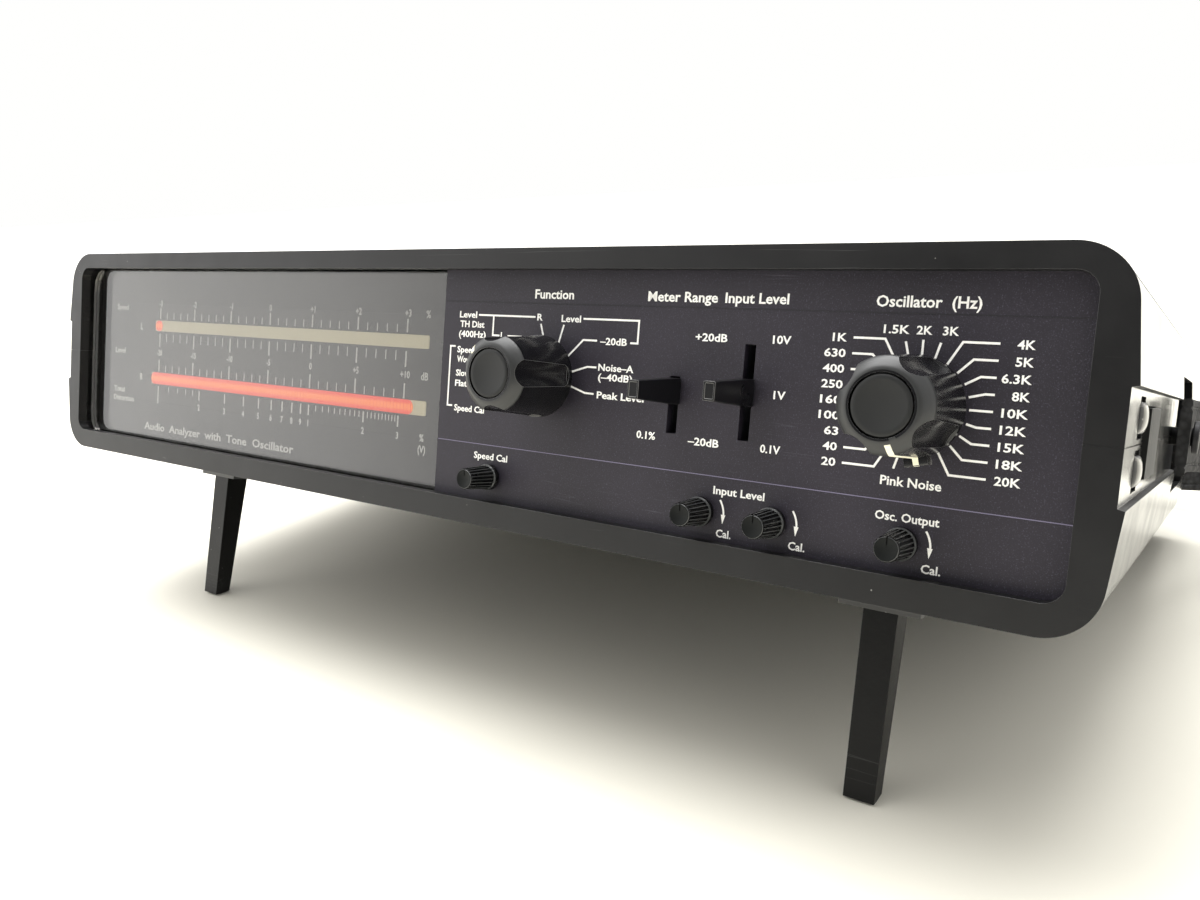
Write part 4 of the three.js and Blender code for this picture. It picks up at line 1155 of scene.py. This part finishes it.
FLUTES = 20
FLUTE_DEPTH = 0.3
FLUTE_SHAPE = [0, 0, 0.7, 1, 1, 1, 0.7, 0]  # share of the depth, round one flute
KNOB = {"front": -5.6, "step": 1.5, "near": 2.22, "far": 2.62}  # y span and radii of the flutes
KNOB_COLLAR = [(0, -0.3), (2.6, -0.3), (2.83, 0)]  # (radius, distance from the step)
KNOB_BASE = [(2.84, -0.5), (2.7, -0.32), (0, -0.32)]  # (radius, distance from the panel)
KNOB_FACE = [(0, 0.14), (1.6, 0.08), (1.74, 0), (1.95, 0), (2.05, 0.15), (2.05, 1), (0, 1)]
KNOB_MARK = {"half_width": 0.11, "low": 0.7, "high": 2.2, "depth": 0.3}
# face and face_depth bound the dull face; rim_depth and ridge_depth bound the painted highlight.
KNOB_FACE_AND_GLINT = {"face": 1.9, "face_depth": 0.5, "rim_depth": 0.16, "ridge_depth": 0.06}


def fluted(x):
    """A tapering round bar with rounded flutes."""
    around = FLUTES * len(FLUTE_SHAPE)
    rings = []
    for y, radius in ((KNOB["front"] + 0.2, KNOB["near"]), (KNOB["step"], KNOB["far"])):
        ring = []
        for i in range(around):
            angle = 2 * math.pi * i / around
            r = radius - FLUTE_DEPTH * FLUTE_SHAPE[i % len(FLUTE_SHAPE)]
            ring.append((x + r * math.cos(angle), y, TRIM_HEIGHT + r * math.sin(angle)))
        rings.append(ring)
    return loft_of(rings)


def make_trimmer(name, x):
    front, step = KNOB["front"], KNOB["step"]
    knob = solid(name + "_knob_body", fluted(x))
    collar = moved(KNOB_COLLAR, step) + moved(KNOB_BASE, PANEL_FRONT)
    face = moved(KNOB_FACE, front)
    join(knob, lathe_of(collar, x, TRIM_HEIGHT), lathe_of(face, x, TRIM_HEIGHT))
    half, low, high = KNOB_MARK["half_width"], KNOB_MARK["low"], KNOB_MARK["high"]
    mark_end = front + KNOB_MARK["depth"]
    cut(knob, box_of((x - half, front - 1, TRIM_HEIGHT + low), (x + half, mark_end, TRIM_HEIGHT + high)))
    # The third material paints highlights on the ridge tops and the face's rim.
    finishes_and_highlights = [flute_black, face_black, ridge_glint]
    settle(knob, name + "_trimmer", finishes_and_highlights, [name + "_knob"], edge=0.06, shade=45)

    def pick(middle, normal):
        """The dull face, the ridge tops and face rim in a lighter grey as a painted highlight, or
        neither.
        """
        off, depth = math.hypot(middle.x - x, middle.z - TRIM_HEIGHT), middle.y - front
        ridge = KNOB["near"] + (KNOB["far"] - KNOB["near"]) * depth / (step - front)
        if off < KNOB_FACE_AND_GLINT["face"] and depth < KNOB_FACE_AND_GLINT["face_depth"]:
            return 1
        highlit = off > ridge - KNOB_FACE_AND_GLINT["ridge_depth"] or depth < KNOB_FACE_AND_GLINT["rim_depth"]
        return 2 if middle.y < step and highlit else None

    finish_faces(knob, pick)


# ---- slide switch levers

LEVER_FRONT = -12
LEVER_SECTIONS = [  # y, half width and half height
    (PANEL_FRONT - 0.3, 1.55, 2.55), (1.2, 1.5, 2.48), (LEVER_FRONT + 0.02, 1.15, 1.675)]
LEVER_DENT = {"half_width": 0.82, "half_height": 1.34, "depth": 0.16}
LEVER_STEM = {"half_width": 0.65, "half_height": 2.3, "front": 1, "back": 9.5}


def make_lever(name, x, z):
    rings = [
        [(u, y, w) for u, w in rounded_about(x, z, half_width, half_height, 0.28, 4)]
        for y, half_width, half_height in LEVER_SECTIONS
    ]
    lever = solid(name + "_lever_cap", loft_of(rings))
    dent = rounded_about(x, z, LEVER_DENT["half_width"], LEVER_DENT["half_height"], 0.2, 4)
    cut(lever, prism_of(dent, "Y", LEVER_FRONT - 1, LEVER_FRONT + LEVER_DENT["depth"]))
    half, high = LEVER_STEM["half_width"], LEVER_STEM["half_height"]
    stem = box_of((x - half, LEVER_STEM["front"], z - high), (x + half, LEVER_STEM["back"], z + high))
    join(lever, stem)
    # The lever's rounded edges, the outline of its tip among them, take the lighter edge material, a
    # painted highlight.
    settle(lever, name + "_slider", [lever_black], [name + "_lever"], edge=0.16, shade=35,
        highlit=edge_glint)


# ---- latches, legs, feet and brackets


def make_latch(name, side):
    """A ribbed plate that stands a little out of its recess in the side groove."""
    half, front, outside = PLATE["half_height"], PLATE["front"], PLATE["outside"]
    plate_x = (PLATE["inside"], outside)
    plate = solid("latch_plate_%s_ribs" % name, side_block(side, plate_x, (front, PLATE["back"]), half))
    channel_x = (outside - RIB["depth"], outside + 1)
    starts = [front + RIB["first"] + RIB["pitch"] * i for i in range(RIB["count"])]
    cut(plate, *[side_block(side, channel_x, (y, y + RIB["channel"]), half + 1) for y in starts])
    clean(plate)
    # The plate's rounded edges take the lighter edge material, a painted highlight.
    settle(plate, "case", [latch_black], ["latch_plate_" + name], edge=0.14, highlit=edge_glint)


SUPPORTS = [  # finish, slot and width of the rounded edges
    ("leg_bracket_", bracket_grey, "case_plastic", 0.25),
    ("rear_foot_", foot_black, "foot_rubber", 1.0),
    ("leg_pin_", zinc, "steel", 0.2),
    ("strap_pivot_", screw_black, "steel", 0.3),
]


def make_supports(side):
    leg = refined("leg_" + side, "leg_%s_body" % side, leg_black, 0.8)
    leg.modifiers["rounded edges"].segments = 4
    for start, finish, slot, edge in SUPPORTS:
        refined(start + side, "case", finish, edge)


# ---- carrying strap

STRAP_HALF = [
    (150.8, 107, 0), (150.8, 126, 0), (153, 139, -0.3), (158.5, 155, -1.2), (164, 174, -3),
    (165.5, 198, -6), (158, 220, -10), (136, 237, -12.9), (92, 246, -14.2), (40, 248.5, -14.7),
]
STRAP_WIDTH = 18.4
STRAP_THICKNESS = 2.6
STRAP_CROWN = [  # share of the half thickness, and distance in from the strap's edge
    (0.55, 0), (0.86, 0.5), (0.93, 1.6), (0.66, 2.1), (0.97, 2.9), (1, STRAP_WIDTH / 2 - 3)]
STRAP_HOLE = {"radius": 2.5, "inside": 147.5, "outside": 154}
STITCH = {"pitch": 3.4, "length": 2.3, "thick": 0.28, "margin": 4, "from_edge": 2.1, "out": 0.35}
STITCH_STAGES = [(0.0, 0.0), (0.25, 0.85), (0.75, 0.85), (1.0, 0.0)]  # (share of it, swell)
KNOTS = [(0, 1), (0, 2), (1, 2)]  # knot offsets of each blending round


def through(points, per_span):
    """A smooth line through points, by centripetal Catmull-Rom spans."""
    points = [Vector(p) for p in points]
    padded = [points[0] * 2 - points[1], *points, points[-1] * 2 - points[-2]]
    line = []
    for i in range(1, len(padded) - 2):
        p = padded[i - 1:i + 3]
        t = [0.0]
        for a, b in zip(p, p[1:]):
            t.append(t[-1] + math.sqrt((b - a).length))
        for step in range(per_span):
            s = t[1] + (t[2] - t[1]) * step / per_span
            level = p
            for lead, span in KNOTS:
                level = [
                    a.lerp(b, (s - t[k + lead]) / (t[k + span] - t[k + lead]))
                    for k, (a, b) in enumerate(zip(level, level[1:]))
                ]
            line.append(level[0])
    line.append(points[-1])
    return line


def strap_section():
    """Outline across the strap as (outward, up): soft edges and a slightly crowned face."""
    half, edge = STRAP_THICKNESS / 2, STRAP_WIDTH / 2
    lower = [(half * share, inward - edge) for share, inward in STRAP_CROWN]
    face = lower + [(out, -up) for out, up in reversed(lower)]
    return face + [(-out, up) for out, up in reversed(face)]


def make_strap():
    left = [(-x, y, z) for x, y, z in reversed(STRAP_HALF)]
    line = through(STRAP_HALF + left, 9)

    def outward(i):
        tangent = line[min(i + 1, len(line) - 1)] - line[max(i - 1, 0)]
        return Vector((tangent.y, -tangent.x, 0)).normalized()

    section = strap_section()
    rings = [
        [point + outward(i) * out + Vector((0, 0, up)) for out, up in section]
        for i, point in enumerate(line)
    ]
    band = solid("strap_band", loft_of(rings))
    cut(band, *[
        bar_of(
            STRAP_BOSS["y"], 0, *sorted((side * STRAP_HOLE["inside"], side * STRAP_HOLE["outside"])),
            STRAP_HOLE["radius"], "X", 32)
        for side in (-1, 1)
    ])
    settle(band, "strap", [strap_black], ["carry_strap"], edge=0.15, shade=50)

    lengths = [0.0]
    for a, b in zip(line, line[1:]):
        lengths.append(lengths[-1] + (b - a).length)

    def at(distance):
        i = min(max(k for k, length in enumerate(lengths) if length <= distance), len(line) - 2)
        share = (distance - lengths[i]) / (lengths[i + 1] - lengths[i])
        return line[i].lerp(line[i + 1], share), outward(i).lerp(outward(i + 1), share).normalized()

    def draw_stitches(mesh):
        edge = STRAP_WIDTH / 2 - STITCH["from_edge"]
        rows = int((lengths[-1] - 2 * STITCH["margin"]) / STITCH["pitch"])
        for row in range(rows):
            start = STITCH["margin"] + row * STITCH["pitch"]
            for up in (-edge, edge):
                for face in (-1, 1):
                    stitch(mesh, at, start, up, face * STRAP_THICKNESS * STITCH["out"])

    printing("strap_stitching", "strap", thread, draw_stitches)


def stitch(mesh, at, start, up, out):
    """One thread stitch: a short bar that dips into the strap at both ends."""
    rings = []
    thick = STITCH["thick"]
    for share, swell in STITCH_STAGES:
        point, side = at(start + STITCH["length"] * share)
        lift = math.copysign(swell * thick, out)
        middle = point + side * (out + lift * 0.6) + Vector((0, 0, up))
        half = thick / 2 * (0.5 + swell / 2)
        corners = ((1, -1), (1, 1), (-1, 1), (-1, -1))
        rings.append([middle + side * a * half + Vector((0, 0, b * half * 1.3)) for a, b in corners])
    loft(mesh, rings)


# ---- rear panel

REAR_FACE = 201.4
REAR_INK = REAR_FACE + INK_LIFT + INK_DEPTH / 2
JACKS = {"input_jack_left": 44, "input_jack_right": 62, "output_jack_left": 88, "output_jack_right": 106}
JACK_HEIGHT = 2
JACK_BARREL = [  # (radius, distance from the rear panel's face)
    (0, -8), (4.1, -8), (4.1, 1.9), (3.75, 2.1), (4.1, 2.4), (3.75, 2.7), (4.1, 3.0), (4.1, 8.6),
    (3.8, 9), (3.3, 9), (3.3, 1.2), (0, 1.2),
]
JACK_RING = [(1.7, 1.4), (3.2, 1.4), (3.2, 8.3), (3.0, 8.5), (1.9, 8.5), (1.7, 8.3), (1.7, 1.4)]
JACK_NUT = {"radius": 6.4, "front": 0.6, "back": 1.8}
JACK_WASHER = [(0, 0.3), (6.3, 0.3), (6.3, 0.7), (0, 0.7)]
REAR_TITLES = {"MAINS": -104, "POWER": -60, "FUSE": -34, "INPUT": 53, "OUTPUT": 97}
REAR_TITLE, REAR_LABEL = (16.2, 2.0), (-8.6, 1.8)  # height and size
JACK_BRACKETS = {"spans": [(40, 66), (84, 110)], "low": 12.6, "high": 13.6, "width": 0.3}


def draw_rear_legend(mesh):
    labels = [(text, x, *REAR_TITLE) for text, x in REAR_TITLES.items()]
    labels += [(text, x, *REAR_LABEL) for text, x in zip("LRLR", JACKS.values())]
    for text, x, z, height in labels:
        letters(mesh, text, -x, z, height, 0)
    for vertex in mesh.verts:
        vertex.co.x, vertex.co.y = -vertex.co.x, REAR_INK - vertex.co.y
    low, high = JACK_BRACKETS["low"], JACK_BRACKETS["high"]
    for left, right in JACK_BRACKETS["spans"]:
        bracket = [(left, low), (left, high), (right, high), (right, low)]
        rule(mesh, bracket, REAR_INK, JACK_BRACKETS["width"])


def make_jack(node, x):
    """A phono socket: nickel barrel with a threaded root, hex nut and a coloured insulator."""
    barrel = moved(JACK_BARREL, REAR_FACE)
    shell = solid(node + "_barrel", lathe_of(barrel, x, JACK_HEIGHT, steps=48))
    nut = arc(x, JACK_HEIGHT, JACK_NUT["radius"], 30, 330, 5)
    join(
        shell,
        prism_of(nut, "Y", REAR_FACE + JACK_NUT["front"], REAR_FACE + JACK_NUT["back"]),
        lathe_of(moved(JACK_WASHER, REAR_FACE), x, JACK_HEIGHT, steps=48),
    )
    settle(shell, "case", [nickel], [node], edge=0.1, shade=35)
    ring = moved(JACK_RING, REAR_FACE)
    insulator = solid(node + "_insulator", lathe_of(ring, x, JACK_HEIGHT, steps=48))
    settle(insulator, "case", [jack_red if node.endswith("right") else jack_white], shade=35)


def make_rear():
    refined("rear_panel", "case", rear_black, 0.15)
    for node in ("mains_inlet", "power_switch", "fuse_holder"):
        refined(node, "case", cap_matte, 0.3)
    refined("power_rocker", "rocker", lever_black, 0.3)
    refined("fuse_cap", "fuse_cap_body", cap_matte, 0.35)
    for node, x in JACKS.items():
        make_jack(node, x)
    printing("rear_legend", "case", ink, draw_rear_legend)


# ---- inner pieces

SWITCHES = ("function", "oscillator", "meter_range", "input_level")
INNER_FINISHES = {
    "display_board": board,
    "main_board": board,
    "power_transformer": iron,
    "smoothing_capacitor": cap_matte,
    **{name + "_switch": switch_grey for name in SWITCHES},
    **{name + "_pot": switch_grey for name in TRIMS},
    **{name + "_shaft": brass for name in (*DIALS, *TRIMS)},
}


def finish_inner_pieces():
    for node, material in INNER_FINISHES.items():
        materials = frame["nodes"][node].data.materials
        materials.clear()
        materials.append(material)


# ---- floor, light and camera

FLOOR_SIZE = 25  # half its width, in metres
FLOOR_DROP = 0.0002  # metres below the feet
FAR_FLOOR = {"start": 900, "end": 2600}  # mm from the object, where the floor fades to white
LAMP = {"width": 1.6, "length": 1.2, "watts": 38, "place": (-0.25, 0.15, 1.4)}
LEFT_SKY = {"direction": (-1.0, -0.55, 0.15), "start": 0.1, "strength": 2.1}  # start is a cosine
DARK_FIGURE = {"direction": (0.12, -0.97, 0.2), "start": 0.5, "strength": 0.12}
SKY_STRENGTH = 1.15

CAMERA_PLACE = Vector((161.2, -155.6, 5.7))  # in the case frame
CAMERA_HEADING = math.radians(35.105)  # to the left of the row's +Y
CAMERA_PITCH = math.radians(-15.331)
CAMERA_ROLL = math.radians(-3.105)
LENS, SENSOR = 28.34, 36


def make_floor():
    floor = solid("floor", lambda mesh: bmesh.ops.create_grid(mesh, size=FLOOR_SIZE))
    floor.location.z = -FLOOR_DROP
    shader = Shader("floor_white", (0.90, 0.875, 0.77), 0.7)
    shade = shader.mixed(shader.noise(0.01, 2), (0.90, 0.875, 0.77), (0.92, 0.895, 0.79))
    length = shader.node("ShaderNodeVectorMath", {0: shader.position}, operation="LENGTH")
    far = shader.between(length.outputs["Value"], FAR_FLOOR["start"], FAR_FLOOR["end"])
    shader.glow(shader.mixed(far, (0, 0, 0), (0.6, 0.62, 0.7)))
    floor.data.materials.append(shader.finished(shade))


def make_world():
    """White surroundings, brighter to the left, with a dark figure in front."""
    world = bpy.data.worlds.new("studio")
    bpy.context.scene.world = world
    sky = Nodes(world)
    sky.tree.nodes.clear()
    where = sky.node("ShaderNodeTexCoord", {}).outputs["Generated"]
    level = SKY_STRENGTH
    for patch in (LEFT_SKY, DARK_FIGURE):
        towards = Vector(patch["direction"]).normalized()
        facing = sky.node("ShaderNodeVectorMath", {0: where, 1: towards}, operation="DOT_PRODUCT")
        spread = {"Value": facing.outputs["Value"], "From Min": patch["start"], "From Max": 0.95}
        share = sky.node("ShaderNodeMapRange", spread, interpolation_type="SMOOTHSTEP").outputs[0]
        level = sky.node("ShaderNodeMix", {0: share, 2: level, 3: patch["strength"]}).outputs[0]
    lit = sky.node("ShaderNodeBackground", {"Color": (1.0, 0.99, 0.975, 1), "Strength": level})
    seen = sky.node("ShaderNodeBackground", {"Color": (1, 1, 0.99, 1)})
    by_camera = sky.node("ShaderNodeLightPath", {}).outputs["Is Camera Ray"]
    chosen = sky.node("ShaderNodeMixShader", {0: by_camera, 1: lit.outputs[0], 2: seen.outputs[0]})
    sky.node("ShaderNodeOutputWorld", {"Surface": chosen.outputs[0]})


def make_light():
    lamp = bpy.data.lights.new("overhead_softbox", "AREA")
    lamp.shape = "RECTANGLE"
    lamp.size, lamp.size_y = LAMP["width"], LAMP["length"]
    lamp.energy = LAMP["watts"]
    light = linked("overhead_softbox", lamp)
    light.location = LAMP["place"]
    light.rotation_euler = (-light.location).to_track_quat("-Z", "Y").to_euler()


def make_camera():
    data = bpy.data.cameras.new("camera")
    data.lens = LENS
    data.sensor_width = SENSOR
    data.clip_start = 0.01
    camera = linked("camera", data)
    turn = (
        Matrix.Rotation(CAMERA_HEADING, 4, "Z")
        @ Matrix.Rotation(math.pi / 2 + CAMERA_PITCH, 4, "X")
        @ Matrix.Rotation(CAMERA_ROLL, 4, "Z")
    )
    camera.matrix_world = Matrix.Translation(CASE @ CAMERA_PLACE) @ turn
    bpy.context.scene.camera = camera


make_camera()
make_case()
make_case_screws()
make_panel()
make_display()
for name, (x, pointer_angle) in DIALS.items():
    make_dial(name, x, pointer_angle)
for name, x in TRIMS.items():
    make_trimmer(name, x)
for name, (x, z) in LEVERS.items():
    make_lever(name, x, z)
for name, side in SIDES.items():
    make_latch(name, side)
for name in SIDES:
    make_supports(name)
make_strap()
make_rear()
finish_inner_pieces()
make_floor()
make_world()
make_light()
bpy.context.scene.view_settings.view_transform = "Standard"
